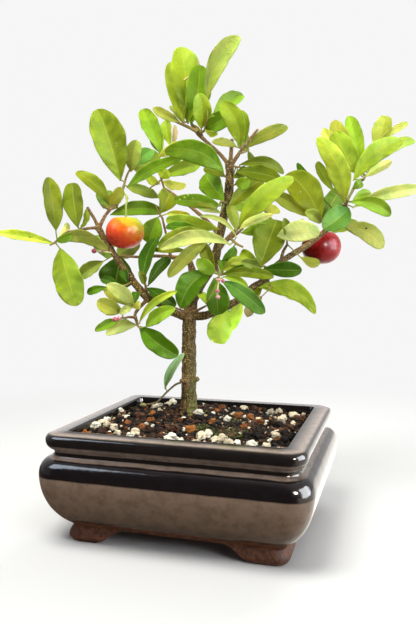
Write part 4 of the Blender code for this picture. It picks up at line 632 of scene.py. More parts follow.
def tube_parts(line, sides, wobble=0.0):
    """Points and faces of a round branch along (point, radius) pairs."""
    points = []
    heading = (line[1][0] - line[0][0]).normalized()
    side = heading.orthogonal().normalized()
    for k, (place, radius) in enumerate(line):
        heading = (line[min(k + 1, len(line) - 1)][0] - line[max(k - 1, 0)][0]).normalized()
        side = (side - heading * side.dot(heading)).normalized()
        other = heading.cross(side)
        for i in range(sides):
            a = math.tau * i / sides
            way = side * math.cos(a) + other * math.sin(a)
            swell = 1 + wobble * noise.noise(place * 0.9 + way * 0.8)
            points.append(place + way * radius * swell)
    return points, ring_faces(points, sides)


def icosphere(subdivisions):
    mesh = bmesh.new()
    bmesh.ops.create_icosphere(mesh, subdivisions=subdivisions, radius=1.0)
    ball = [v.co.copy() for v in mesh.verts], [[v.index for v in f.verts] for f in mesh.faces]
    mesh.free()
    return ball


# Objects

def configure(thing, **settings):
    for key, value in settings.items():
        setattr(thing, key, value)
    return thing


def add_object(name, data):
    made = bpy.data.objects.new(name, data)
    bpy.context.scene.collection.objects.link(made)
    return made


def make_object(name, points, faces):
    """An object, in metres in the frame, from points in mm."""
    mesh = bpy.data.meshes.new(name)
    mesh.from_pydata([(Vector(p) + SHIFT) * MM for p in points], [], faces)
    work = bmesh.new()
    work.from_mesh(mesh)
    bmesh.ops.recalc_face_normals(work, faces=work.faces)
    work.to_mesh(mesh)
    work.free()
    return add_object(name, mesh)


def modify(made, kind, **settings):
    configure(made.modifiers.new(kind, kind), **settings)


def settle(made):
    """Gives an object the mesh that its modifiers make of it."""
    mesh = bpy.data.meshes.new_from_object(
        made.evaluated_get(bpy.context.evaluated_depsgraph_get()))
    made.modifiers.clear()
    made.data = mesh
    return mesh


def dress(made, slot, *nodes):
    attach(made, "root")
    if nodes:
        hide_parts(*nodes)
    return made


def paint(made, material):
    made.data.materials.clear()
    made.data.materials.append(material)


class Shape:
    """Points, faces and values for one piece, gathered before its mesh is made."""

    def __init__(self):
        self.points, self.faces, self.tints, self.blade, self.kind = [], [], [], [], []

    def add(self, points, faces, tint=(0.5, 0.5, 0.5), blade=None, kind=0.0):
        """kind is 0 on wood and petioles, 1 on a leaf's upper side and 2 on its lower side."""
        first = len(self.points)
        count = len(points)
        self.points += points
        self.faces += [tuple(first + i for i in face) for face in faces]
        self.tints += tint if isinstance(tint, list) else [tint] * count
        self.blade += blade or [(0.0, 0.0)] * count
        self.kind += kind if isinstance(kind, list) else [kind] * count

    def piece(self, name, slot, *nodes, material=None, sharp=None):
        """Makes the object, which rides on the root body; with no material it holds no values."""
        made = make_object(name, self.points, self.faces)
        mesh = made.data
        if material:
            tint = mesh.attributes.new("tint", "FLOAT_COLOR", "POINT")
            tint.data.foreach_set("color", [c for t in self.tints for c in (*t, 1.0)])
            kind = mesh.attributes.new("kind", "FLOAT", "POINT")
            kind.data.foreach_set("value", self.kind)
            layer = mesh.uv_layers.new(name="blade")
            for loop in mesh.loops:
                layer.data[loop.index].uv = self.blade[loop.vertex_index]
            paint(made, material)
        mesh.shade_smooth()
        if sharp:
            mesh.set_sharp_from_angle(angle=math.radians(sharp))
        return dress(made, slot, *nodes)


# The leaves

def leaf_frame(spec, root):
    """The blade's foot and tip, and its across and outward directions."""
    near = NEAR.get(spec.name, VIEW_REACH - (root - VIEW_EYE).dot(FORWARD))
    foot = seen(spec.x, spec.y, near)
    tip = seen(spec.tip_x, spec.tip_y, near + spec.lift)
    along = (tip - foot).normalized()
    toward = VIEW_EYE - (foot + tip) / 2
    outward = (toward - along * toward.dot(along)).normalized()
    across = along.cross(outward)
    turn = math.radians(spec.turn)
    return (foot, tip, across * math.cos(turn) - outward * math.sin(turn),
            outward * math.cos(turn) + across * math.sin(turn))


def outline(s, widest):
    """The blade's width at s along it, 0 at the foot and 1 at the tip, as a share of the widest."""
    if s < widest:
        return max(math.sin(math.pi / 2 * s / widest) ** FOOT_CURVE, FOOT_BLUNT)
    return max(1 - ((s - widest) / (1 - widest)) ** TIP_CURVE, 0) ** 0.5


def lit(colour, glow):
    """A leaf's tone with painted light and shade: darkened as it is or paled towards white."""
    if glow <= 1:
        return tuple(c * glow for c in colour)
    more = glow - 1
    return (colour[0] * (1 + 0.35 * more), colour[1] * (1 + 0.55 * more),
            colour[2] * (1 + 1.2 * more) + 0.14 * more * colour[1])


def shell_faces(rows, wide):
    """The faces of a thin shell: an upper grid, a lower one behind it, and its edge."""
    count = (rows + 1) * wide
    faces = []
    for row in range(rows):
        for k in range(wide - 1):
            a = row * wide + k
            faces.append((a, a + 1, a + wide + 1, a + wide))
            faces.append((count + a, count + a + wide, count + a + wide + 1, count + a + 1))
        left = row * wide
        right = left + wide - 1
        faces.append((left, left + wide, count + left + wide, count + left))
        faces.append((right, count + right, count + right + wide, right + wide))
    for k in range(wide - 1):
        faces.append((k, count + k, count + k + 1, k + 1))
        end = rows * wide + k
        faces.append((end, end + 1, count + end + 1, count + end))
    return faces


def leaf_parts(shape, spec, root):
    """A thin shell with a midrib, quilted between its side veins, on its petiole."""
    foot, tip, across, outward = leaf_frame(spec, root)
    length = (tip - foot).length
    draw = random.Random(spec.name)
    rows = max(16, min(34, int(length / ROW_LENGTH)))
    phase = WAVE_SHIFT * (spec.tip_x + spec.tip_y)
    curl = draw.uniform(-0.05, 0.14)
    edge_phase = draw.uniform(0, 9)
    quilt = QUILT * spec.wide
    widest = draw.uniform(0.47, 0.60)
    uneven = draw.uniform(-0.09, 0.09)
    sides = [k / HALF_COLUMNS for k in range(-HALF_COLUMNS, HALF_COLUMNS + 1)]
    wide = len(sides)
    top, under, blade = [], [], []
    for row in range(rows + 1):
        t = row / rows
        s = 0.35 * t + 0.65 * (1 - math.cos(math.pi * t)) / 2
        bend = 4 * s * (1 - s)
        half = max(spec.wide / 2 * outline(s, widest), FOOT_HALF if s < 0.5 else TIP_HALF)
        for side in sides:
            out = abs(side)
            ragged = (1 + uneven * (1 if side > 0 else -1) * math.sin(math.pi * s)
                      + RAGGED * noise.noise(Vector((s * 5.5, side * 2 + edge_phase, phase))))
            wave = WAVE * math.sin(math.tau * WAVE_TURNS * s + phase + WAVE_LAG * side)
            ripple = RIPPLE * math.sin(math.tau * RIPPLE_TURNS * s + edge_phase + side) * out ** 3
            crease = math.sqrt(out ** 2 + CREASE) - math.sqrt(CREASE)
            lift = half * (crease * FOLD + out ** 1.4 * wave + ripple + curl * out ** 2)
            beat = (s - VEIN_RISE * out ** VEIN_CURVE) * VEIN_PAIRS * 2
            puff = (math.cos(math.tau * (beat / 2 + 0.5)) * quilt * math.sin(math.pi * out)
                    * min(1.0, half / 4))
            mid = foot.lerp(tip, s) + outward * spec.arch * bend + across * spec.bow * bend
            place = mid + across * side * half * ragged + outward * (lift + puff)
            top.append(place + outward * SHELL)
            rib = MIDRIB * (1 - 0.8 * s) if side == 0 else 0.0
            under.append(place - outward * (SHELL + rib))
            blade.append((s, (side + 1) / 2))
    shade = draw.uniform(0.95, 1.05)
    upper = tuple(c * shade for c in Vector(TINTS[spec.tint]))
    lower = tuple(UNDER_SHARE * c + paler for c, paler in zip(upper, UNDER_TONE))
    # Painted light and shade on the blade: one half lighter than the other across the midrib and a
    # gradient from foot to tip, with paler side veins and random patches; the lower side gets half of
    # it
    along = draw.uniform(-0.26, 0.34)
    painted_half_shade = draw.choice((-1, 1)) * draw.uniform(0.08, 0.24)
    glow = []
    for s, spot in blade:
        side = spot * 2 - 1
        patch = noise.noise(Vector((s * 2.2, side * 0.8 + edge_phase, phase)))
        beat = (s - VEIN_RISE * abs(side) ** VEIN_CURVE) * VEIN_PAIRS
        glow.append(1 + along * (s - 0.5) * 2 * 0.8 + painted_half_shade * max(-1.0, min(1.0, side * 5))
                    + 0.16 * patch + 0.10 * math.cos(math.tau * beat) * abs(side))
    count = len(top)
    shape.add(top + under, shell_faces(rows, wide),
              [lit(upper, g) for g in glow] + [lit(lower, 1 + (g - 1) * 0.5) for g in glow],
              blade + blade, [1.0] * count + [2.0] * count)

    def on_blade(s, side):
        """The place within the shell at s along and side across, -1 to 1."""
        row = min(range(rows + 1), key=lambda k: abs(blade[k * wide][0] - s))
        return top[row * wide + min(wide - 1, round((side + 1) * HALF_COLUMNS))] - outward * SHELL

    mark, mark_faces = icosphere(2)
    for s, side, size, tone in SPOTS.get(spec.name, ()):
        spot = on_blade(s, side)
        shape.add([spot + across * p.x * size / 2 + across.cross(outward) * p.y * size / 2
                   + outward * p.z * MARK_THICK for p in mark], mark_faces, tone)
    if spec.name in EDGES:
        knots = [(on_blade(s, side), EDGE_RADIUS) for s, side in EDGES[spec.name]]
        shape.add(*tube_parts(curve_through(knots, 4), 6), EDGE_TONE)
    start = foot + (tip - foot).normalized() * length * 0.03
    stalk = curve_through([(root, 0.55), (root.lerp(start, 0.5) - outward * 0.3, 0.45),
                           (start, 0.42)], 3)
    stem = (0.30 * upper[0] + 0.14, 0.35 * upper[1] + 0.10, 0.3 * upper[2] + 0.03)
    shape.add(*tube_parts(stalk, 6), stem)


def twig_parts(shape, line, tint=TWIG_TINT, inset=1.2):
    """A twig that grows out of what carries it."""
    heading = (line[1][0] - line[0][0]).normalized()
    full = [(line[0][0] - heading * inset, line[0][1] * 1.15)] + line
    shape.add(*tube_parts(curve_through(full, 4), 8, wobble=0.16), tint)


# The looks

class Wire:
    """A node's output, whose sums and products are Math nodes."""

    def __init__(self, maker, socket):
        self.maker, self.socket = maker, socket

    def __add__(self, other):
        return self.maker.math("ADD", self, other)

    def __sub__(self, other):
        return self.maker.math("SUBTRACT", self, other)

    def __mul__(self, other):
        return self.maker.math("MULTIPLY", self, other)


class Maker:
    """Short calls for the nodes of a material, or of the world."""

    def __init__(self, owner):
        if isinstance(owner, str):
            owner = bpy.data.materials.new(owner)
        self.made = configure(owner, use_nodes=True)
        self.nodes, self.links = owner.node_tree.nodes, owner.node_tree.links
        self.shader = self.nodes.get("Principled BSDF")

    def feed(self, socket, value):
        if isinstance(value, Wire):
            self.links.new(value.socket, socket)
        elif socket.type == "RGBA" and len(value) == 3:
            socket.default_value = (*value, 1)
        else:
            socket.default_value = value

    def get(self, kind, output=0, inputs=(), **settings):
        """A new node's output; inputs are (socket, value) pairs."""
        made = configure(self.nodes.new(kind), **settings)
        for socket, value in inputs:
            self.feed(made.inputs[socket], value)
        return Wire(self, made.outputs[output])

    def attribute(self, name, output="Fac"):
        return self.get("ShaderNodeAttribute", output, attribute_name=name)

    def math(self, operation, a, b=0.0):
        return self.get("ShaderNodeMath", 0, ((0, a), (1, b)), operation=operation)

    def vector(self, operation, a, b, output="Vector"):
        return self.get("ShaderNodeVectorMath", output, ((0, a), (1, b)), operation=operation)

    def axes(self, vector):
        made = self.nodes.new("ShaderNodeSeparateXYZ")
        self.feed(made.inputs[0], vector)
        return [Wire(self, socket) for socket in made.outputs]

    def mix(self, share, a, b, blend="MIX"):
        return self.get("ShaderNodeMix", 2, data_type="RGBA", blend_type=blend,
                        inputs=((0, share), (6, a), (7, b)))

    def tone(self, colour, by):
        return self.mix(1.0, colour, by, "MULTIPLY")

    def mix_shader(self, share, a, b):
        return self.get("ShaderNodeMixShader", 0, ((0, share), (1, a), (2, b)))

    def ramp(self, value, *stops, smooth=True):
        """stops are (position, colour or grey)."""
        made = self.nodes.new("ShaderNodeValToRGB")
        made.color_ramp.interpolation = "EASE" if smooth else "LINEAR"
        self.feed(made.inputs[0], value)
        elements = made.color_ramp.elements
        while len(elements) < len(stops):
            elements.new(0.5)
        for element, (position, colour) in zip(elements, stops):
            element.position = position
            element.color = (*colour, 1) if isinstance(colour, tuple) else (colour,) * 3 + (1,)
        return Wire(self, made.outputs[0])

    def place(self):
        """The point on the object, in mm."""
        return self.vector("MULTIPLY", self.get("ShaderNodeTexCoord", "Object"), (1 / MM,) * 3)

    def noise(self, place, scale, detail=4.0, rough=0.55, stretch=None, distort=0.0):
        if stretch:
            place = self.vector("MULTIPLY", place, stretch)
        return self.get("ShaderNodeTexNoise", "Fac", (
            ("Vector", place), ("Scale", scale), ("Detail", detail), ("Roughness", rough),
            ("Distortion", distort)))

    def cells(self, place, scale, feature="F1"):
        return self.get("ShaderNodeTexVoronoi", "Distance", (("Vector", place), ("Scale", scale)),
                        feature=feature)

    def bump(self, height, strength, distance=0.2):
        return self.get("ShaderNodeBump", 0, (
            ("Height", height), ("Strength", strength), ("Distance", distance * MM)))

    def surface(self, shader):
        self.feed(self.nodes["Material Output"].inputs["Surface"], shader)
        return self.made

    def finish(self, colour, roughness, normal=None, **values):
        values.update(Base_Color=colour, Roughness=roughness)
        if normal:
            values.update(Normal=normal)
        for key, value in values.items():
            self.feed(self.shader.inputs[key.replace("_", " ")], value)
        return self.made


def leaf_material():
    m = Maker("leaf")
    tint, kind, place = m.attribute("tint", "Color"), m.attribute("kind"), m.place()
    s, across, _ = m.axes(m.get("ShaderNodeUVMap", uv_map="blade"))
    out = m.math("ABSOLUTE", across * 2.0 - 1.0)
    is_leaf = m.math("GREATER_THAN", kind, 0.5)
    is_under = m.math("GREATER_THAN", kind, 1.5)
    # side veins, which rise from the midrib towards the margin
    bent = m.math("POWER", out, VEIN_CURVE) * VEIN_RISE
    beat = (s - bent + (m.noise(place, 0.25, 2.0) - 0.5) * 0.05) * VEIN_PAIRS
    away = m.math("ABSOLUTE", m.math("FRACT", beat) - 0.5)
    vein = m.ramp(away, (0.0, 1.0), (0.07, 0.0)) * m.ramp(out, (0.55, 1.0), (0.95, 0.0))
    midrib = m.ramp(out, (0.0, 1.0), (0.075, 0.0))
    net = m.ramp(m.cells(place, 0.85, feature="DISTANCE_TO_EDGE"), (0.0, 1.0), (0.06, 0.0))
    lines = m.math("MAXIMUM", m.math("MAXIMUM", midrib, vein * 0.26), net * 0.12) * is_leaf
    # colour: drifts over the blade, paler lines, a darker or yellower margin, a few small marks
    drift = m.ramp(m.noise(place, 0.085, 3.0, distort=0.4), (0.34, 0.0), (0.64, 1.0))
    colour = m.mix(drift * is_leaf, m.tone(tint, (0.84, 0.88, 0.84)),
                   m.tone(tint, (1.14, 1.05, 1.15)))
    fine = m.noise(place, 0.9, 4.0)
    colour = m.mix(m.ramp(fine, (0.4, 0.0), (0.72, 0.5)), colour,
                   m.tone(colour, (0.70, 0.80, 0.62)))
    colour = m.mix(lines * 0.55, colour, m.mix(0.55, colour, (0.55, 0.60, 0.17)))
    rim = m.ramp(out, (0.94, 0.0), (1.0, 0.28))
    colour = m.mix(rim * is_leaf, colour, (0.40, 0.42, 0.09))
    marks = m.ramp(m.noise(place, 0.55, 2.0), (0.72, 0.0), (0.78, 0.5))
    colour = m.mix(marks * is_leaf, colour, (0.32, 0.32, 0.07))
    normal = m.bump(fine * 0.35 + lines * -0.8, 0.45, 0.35)
    m.finish(colour, is_under * 0.16 + (fine * 0.20 + 0.36), normal, Specular_IOR_Level=0.16,
             Specular_Tint=(0.90, 1.0, 0.45))
    through = m.get("ShaderNodeBsdfTranslucent", 0, (
        ("Color", m.tone(colour, (1.42, 1.18, 0.36))), ("Normal", normal)))
    return m.surface(m.mix_shader(is_leaf * 0.36, Wire(m, m.shader.outputs[0]), through))


def bark_material():
    m = Maker("bark")
    place = m.place()
    x, _, z = m.axes(place)
    ridges = m.noise(place, 0.9, 6.0, 0.62, stretch=(1.0, 1.0, 0.32), distort=0.6)
    colour = m.ramp(ridges, (0.30, (0.020, 0.012, 0.004)), (0.48, (0.080, 0.049, 0.014)),
                    (0.62, (0.175, 0.115, 0.034)), (0.78, (0.32, 0.23, 0.075)))
    young = m.ramp(m.noise(place, 0.8, 5.0), (0.35, (0.105, 0.052, 0.022)),
                   (0.55, (0.26, 0.145, 0.062)), (0.75, (0.46, 0.30, 0.15)))
    colour = m.mix(m.ramp(m.attribute("girth"), (0.0, 1.0), (0.55, 0.0)), colour, young)
    sparse = m.ramp(m.noise(place, 0.45, 3.0), (0.38, 0.0), (0.52, 1.0))
    speck = m.ramp(m.cells(place, 0.95), (0.0, 1.0), (0.22, 1.0), (0.32, 0.0)) * sparse
    colour = m.mix(speck * 0.85, colour, (0.58, 0.47, 0.20))
    # moss, low on the trunk's right side
    low = m.ramp((z - (SHIFT.z + 62.0)) * (1 / 60), (0.0, 1.0), (1.0, 0.0))
    right = m.ramp((x - (TREE_FOOT.x + SHIFT.x)) * 0.12 + 0.5, (0.35, 0.0), (0.9, 1.0))
    moss = low * right * m.ramp(m.noise(place, 0.5, 4.0), (0.40, 0.0), (0.60, 1.0))
    colour = m.mix(moss * 0.85, colour, (0.14, 0.17, 0.035))
    return m.finish(colour, 0.82, m.bump(ridges + speck * 0.35, 0.9, 0.6), Specular_IOR_Level=0.12)


def pot_material():
    m = Maker("glaze")
    place = m.place()
    _, _, z = m.axes(place)
    steady = m.ramp(z * (1 / RIM_TOP), (0.84, 1.0), (0.94, 0.0))
    drift = (m.noise(place, 0.045, 4.0) - 0.5) * steady
    # The glaze's colour by height: the taupe bands and the pale rim top are partly painted reflection
    colour = m.ramp((z + drift * 1.1) * (1 / RIM_TOP),
                    *[(height / RIM_TOP, tone) for height, tone in POT_BANDS], smooth=False)
    mottle = m.noise(place, 0.16, 6.0, 0.65)
    colour = m.mix(m.ramp(mottle, (0.40, 0.0), (0.66, 0.55)), colour,
                   m.tone(colour, (0.50, 0.50, 0.48)))
    pits = m.ramp(m.noise(place, 0.75, 3.0, 0.6), (0.66, 0.0), (0.72, 0.75))
    colour = m.mix(pits, colour, m.tone(colour, (0.45, 0.45, 0.35)))
    freckle = m.noise(place, 1.3, 5.0, 0.7)
    colour = m.mix(m.ramp(freckle, (0.55, 0.0), (0.75, 0.4)), colour,
                   m.tone(colour, (1.5, 1.4, 1.3)))
    colour = m.mix(m.attribute("inner"), colour, (0.006, 0.005, 0.005))
    rough = m.ramp(m.noise(place, 0.5, 4.0), (0.3, 0.07), (0.75, 0.17))
    height = m.noise(place, 0.09, 3.0) + freckle * 0.10
    return m.finish(colour, rough, m.bump(height, 0.25, 0.8), Specular_IOR_Level=0.42,
                    Specular_Tint=(1.0, 0.86, 0.76))


def clay_material():
    """The bare clay of the feet and of the pot's underside."""
    m = Maker("clay")
    place = m.place()
    grain = m.noise(place, 0.9, 6.0, 0.7)
    colour = m.ramp(m.noise(place, 0.35, 5.0), (0.35, (0.040, 0.014, 0.007)),
                    (0.65, (0.098, 0.036, 0.017)))
    colour = m.mix(m.ramp(grain, (0.45, 0.0), (0.75, 0.6)), colour, (0.16, 0.070, 0.036))
    return m.finish(colour, m.ramp(grain, (0.3, 0.45), (0.7, 0.75)), m.bump(grain, 0.5, 0.4),
                    Specular_IOR_Level=0.10)


def grain_material(name, tones, scale, strength=0.8):
    """Stone, clay or bark bits, their tone from the piece's own tint and a grain noise."""
    m = Maker(name)
    grain = m.noise(m.place(), scale, 6.0, 0.7)
    colour = m.tone(m.attribute("tint", "Color"), m.ramp(grain, *tones))
    return m.finish(colour, 0.9, m.bump(grain, strength, 0.5), Specular_IOR_Level=0.12)


def fruit_material(name, spec):
    """A skin whose colour runs from its ripest side to its palest, with streaks and dots; on the red
    fruit that run also holds painted shade and a painted highlight.
    """
    m = Maker(name)
    place = m.place()
    streak = m.noise(place, 0.35, 5.0, 0.6)
    offset = m.vector("SUBTRACT", place, seen(*spec["centre"]) + SHIFT)
    along = m.vector("DOT_PRODUCT", offset, spec["paler"].normalized(), "Value")
    share = along * (1 / spec["run"]) + 0.5 + (streak - 0.5) * spec["streaks"]
    dots = m.ramp(m.cells(place, 1.1), (0.0, 1.0), (0.12, 0.0))
    colour = m.mix(dots * spec["dots"], m.ramp(share, *spec["skin"]), spec["dot_tone"])
    return m.finish(colour, m.ramp(streak, (0.3, 0.20), (0.7, 0.34)),
                    m.bump(m.noise(place, 0.9, 3.0), 0.12, 0.4),
                    Specular_IOR_Level=0.15, Subsurface_Weight=0.15, Subsurface_Scale=0.004)


def bud_material():
    m = Maker("bud")
    fine = m.noise(m.place(), 1.8, 4.0)
    colour = m.mix(m.ramp(fine, (0.42, 0.0), (0.75, 0.35)), m.attribute("tint", "Color"),
                   (0.72, 0.50, 0.46))
    return m.finish(colour, 0.5, m.bump(fine, 0.4, 0.3), Specular_IOR_Level=0.4)


def screen_material():
    m = Maker("screen")
    fine = m.noise(m.place(), 2.0, 3.0)
    return m.finish(m.ramp(fine, (0.3, 0.02), (0.7, 0.05)), 0.6, m.bump(fine, 0.3, 0.2))


LEAF = leaf_material()
BARK = bark_material()
GLAZE = pot_material()
CLAY = clay_material()
BUD = bud_material()
SCREEN = screen_material()


# The crown

tree_surface = surface_of("tree")


def build_sprays():
    for name, (lines, leaves) in SPRAYS.items():
        lines = [seated(line) for line in lines]
        shape = Shape()
        for line in lines:
            twig_parts(shape, line)
        for spec in leaves:
            hits = [nearest_on(line, spec.x, spec.y) for line in lines]
            leaf_parts(shape, spec, min(hits, key=lambda hit: hit[0])[1])
        slot = "leaf_light" if name in LIGHT_SPRAYS else "leaf"
        shape.piece(name + "_leaves", slot, name, material=LEAF)


def build_tree():
    """The wood: smooth limbs melted into one skin, then roughened as bark."""
    shape = Shape()
    samples = []
    for line in (*WOOD.values(), *ROOTS):
        fine = curve_through(line, 5)
        samples += fine
        shape.add(*tube_parts(fine, 14, wobble=0.10))
    made = shape.piece("tree_wood", "bark", "tree")
    modify(made, "REMESH", mode="VOXEL", voxel_size=VOXEL * MM)
    modify(made, "SMOOTH", factor=0.5, iterations=3)
    mesh = settle(made)
    finder = KDTree(len(samples))
    for index, (place, radius) in enumerate(samples):
        finder.insert(place, index)
    finder.balance()
    values = []
    normals = [v.normal.copy() for v in mesh.vertices]
    for vertex, normal in zip(mesh.vertices, normals):
        place = vertex.co / MM - SHIFT
        radius = samples[finder.find(place)[1]][1]
        ridge = noise.fractal(Vector((place.x, place.y, place.z * 0.35)) * 0.55, 1.0, 2.0, 4)
        knob = noise.noise(place * 0.9)
        lenticel = max(0.0, noise.noise(place * Vector((1.5, 1.5, 2.2)).length / 1.6) - 0.25)
        push = RIDGE * ridge + KNOB * knob + LENTICEL * lenticel
        vertex.co += normal * push * min(1.0, radius / 4.5) * MM
        values.append(radius / 5.0)
    mesh.attributes.new("girth", "FLOAT", "POINT").data.foreach_set("value", values)
    mesh.shade_smooth()
    paint(made, BARK)


def build_fruit():
    for name, spec in FRUIT.items():
        centre = seen(*spec["centre"])
        half = spec["wide"] / 2
        points = []
        for j in range(FRUIT_DOWN + 1):
            angle = math.pi * (1 - j / FRUIT_DOWN)
            up = max(0.0, math.cos(angle))
            dip = 1 - 0.20 * up ** 10 - 0.03 * max(0.0, -math.cos(angle)) ** 12
            reach = max(math.sin(angle), 0.02) ** 0.92
            for i in range(FRUIT_AROUND):
                turn = math.tau * i / FRUIT_AROUND
                swell = 1 + 0.022 * math.cos(FRUIT_LOBES * turn) * (0.4 + 0.6 * up)
                swell += 0.012 * noise.noise(Vector((math.cos(turn), math.sin(turn), angle)) * 1.3)
                points.append(centre + Vector((half * swell * reach * math.cos(turn),
                                               half * swell * reach * math.sin(turn),
                                               spec["tall"] / 2 * dip * math.cos(angle))))
        body = Shape()
        body.add(points, ring_faces(points, FRUIT_AROUND))
        body.piece(name + "_flesh", name, name, material=fruit_material(name, spec))
        line = seated(spec["stalk"])
        stalk = Shape()
        twig_parts(stalk, line, FRUIT_STALK)
        knob = point_along(line, 0.3)
        ball, faces = icosphere(2)
        stalk.add([knob + p * 1.1 for p in ball], faces, FRUIT_KNOB)
        stalk.piece(name + "_stalk", "leaf", material=LEAF)


def bud_parts(shape, centre, size, tint, up):
    """A closed flower bud: overlapping rounded petals over small green sepals."""
    ball, faces = icosphere(3)
    side = up.orthogonal().normalized()
    other = up.cross(side)
    petals = []
    for p in ball:
        turn = math.atan2(p.y, p.x)
        folds = 1 + 0.07 * math.sin(5 * turn + 3.0 * p.z) * math.sqrt(max(0.0, 1 - p.z ** 2))
        petals.append(centre + (side * p.x + other * p.y) * size / 2 * folds
                      + up * p.z * size / 2)
    shape.add(petals, faces, tint)
    small, faces = icosphere(2)
    for i in range(5):
        turn = math.tau * i / 5
        way = side * math.cos(turn) + other * math.sin(turn)
        spot = centre - up * size * 0.33 + way * size * 0.26
        shape.add([spot + (way * p.x + up.cross(way) * p.y) * size * 0.13
                   + up * p.z * size * 0.2 for p in small], faces, SEPAL)


def build_buds():
    for name, (stalk, buds) in BUDS.items():
        shape = Shape()
        twig_parts(shape, stalk, BUD_STALK, inset=0.3)
        for order, (x, y, near, size) in enumerate(buds):
            centre = seen(x, y, near)
            root = nearest_on(stalk, x, y)[1]
            way = (centre - root).normalized() if (centre - root).length > 0.5 else Vector((0, 0, 1))
            stem = [(root, 0.4), (root.lerp(centre, 0.5), 0.38), (centre, 0.45)]
            shape.add(*tube_parts(stem, 8), BUD_STEM)
            bud_parts(shape, centre, size, BUD_TINTS[order % len(BUD_TINTS)], way)
        shape.piece(name + "_petals", "bud", name, material=BUD)


def build_low_twig():
    line = seated(LOW_TWIG)
    shape = Shape()
    twig_parts(shape, line, LOW_TWIG_TINT)
    leaf_parts(shape, LOW_LEAF, nearest_on(line, LOW_LEAF.x, LOW_LEAF.y)[1])
    ball, faces = icosphere(3)
    shape.add([line[-1][0] + Vector((p.x * 2.2, p.y * 1.4, p.z * 1.3)) for p in ball], faces,
              LOW_BUD_TINT)
    shape.piece("low_twig_leaf", "leaf_teal", "low_twig", material=LEAF)


# The pot

def rounded(inset, z, radius):
    """A rounded rectangle with evenly spaced points along its sides."""
    half_x = POT_HALF_X - inset
    half_y = POT_HALF_Y - inset
    corners = []
    for quarter, (sx, sy) in enumerate(((1, 1), (-1, 1), (-1, -1), (1, -1))):
        angles = [math.pi / 2 * (quarter + i / CORNER_STEPS) for i in range(CORNER_STEPS + 1)]
        corners.append([Vector((sx * (half_x - radius) + radius * math.cos(a),
                                sy * (half_y - radius) + radius * math.sin(a), z)) for a in angles])
    ring = []
    for quarter in range(4):
        start = corners[quarter][-1]
        stop = corners[(quarter + 1) % 4][0]
        ring += corners[quarter] + [start.lerp(stop, i / SIDE_STEPS) for i in range(1, SIDE_STEPS)]
    return ring


def profile_through(entries, steps):
    """A smooth profile through (inset, z, corner radius) entries."""
    return [place for place, _ in curve_through([(Vector(entry), 0.0) for entry in entries], steps)]


def loft_parts(rings):
    points = [p for ring in rings for p in ring]
    return points, ring_faces(points, len(rings[0]))


def apron_cutter(half_gap, half_run, placed):
    """A prism under the apron, outlined by the feet's sides; placed makes each point."""
    knots = [(Vector((half_gap - d, z, 0)), 0.0) for d, z in BRACKET]
    half = [(half_gap, -1.0)] + [(p.x, p.y) for p, _ in curve_through(knots, 5)]
    shape = half + [(-u, z) for u, z in reversed(half)]
    return make_object("gap", *loft_parts([[placed(reach, u, z) for u, z in shape]
                                           for reach in (half_run, -half_run)]))


def build_pot():
    rings = [rounded(*entry) for entry in profile_through(OUTER_PROFILE[:4], 4)
             + profile_through(OUTER_PROFILE[4:], 4) + profile_through(INNER_PROFILE, 3)]
    pot = make_object("pot_glazed", *loft_parts(rings))
    recess = FOOT_INSET + APRON_THICK
    cutters = [
        make_object("recess", *loft_parts([rounded(recess, z, 4.0) for z in (-1.0, BODY_BOTTOM)])),
        apron_cutter(POT_HALF_X - FOOT_INSET - FOOT_LENGTH_X, POT_HALF_Y + 10,
                     lambda reach, u, z: Vector((u, reach, z))),
        apron_cutter(POT_HALF_Y - FOOT_INSET - FOOT_LENGTH_Y, POT_HALF_X + 10,
                     lambda reach, u, z: Vector((reach, -u, z)))]
    for x in (-DRAIN_X, DRAIN_X):
        cutters.append(make_object("drain", *loft_parts([
            [Vector((x + DRAIN_RADIUS * math.cos(a), DRAIN_RADIUS * math.sin(a), z))
             for a in (math.tau * i / 40 for i in range(40))]
            for z in (BODY_BOTTOM - 1, FLOOR_TOP + 1)])))
    for cutter in cutters:
        modify(pot, "BOOLEAN", operation="DIFFERENCE", object=cutter, solver="EXACT")
    settle(pot)
    for cutter in cutters:
        bpy.data.objects.remove(cutter)
    modify(pot, "BEVEL", width=0.5 * MM, segments=2, limit_method="ANGLE",
           angle_limit=math.radians(50))
    mesh = settle(pot)
    within = []
    for vertex in mesh.vertices:
        place = vertex.co / MM - SHIFT
        edge = min(POT_HALF_X - abs(place.x), POT_HALF_Y - abs(place.y))
        within.append(1.0 if edge > INNER_EDGE and place.z > FLOOR_TOP + 8 else 0.0)
    mesh.attributes.new("inner", "FLOAT", "POINT").data.foreach_set("value", within)
    mesh.shade_smooth()
    mesh.set_sharp_from_angle(angle=math.radians(35))
    dress(pot, "glaze", "pot")
    paint(pot, GLAZE)
    mesh.materials.append(CLAY)
    for face in mesh.polygons:
        middle = face.center / MM - SHIFT
        inside = max(abs(middle.x) - POT_HALF_X, abs(middle.y) - POT_HALF_Y) < 0.4 - recess
        under = face.normal.z < -0.75 and middle.z < 20
        face.material_index = int(middle.z < CLAY_TOP or under or (inside and middle.z < 25))


# The soil

def soil_height(x, y):
    """The soil's smooth surface: level at the wall, mounded at the trunk."""
    away = math.hypot(x - TREE_FOOT.x, y - TREE_FOOT.y)
    share = (MOUND_REACH - away) / (MOUND_REACH - MOUND_FLAT)
    return SOIL_EDGE_Z + SOIL_MOUND * min(1.0, max(0.0, share))


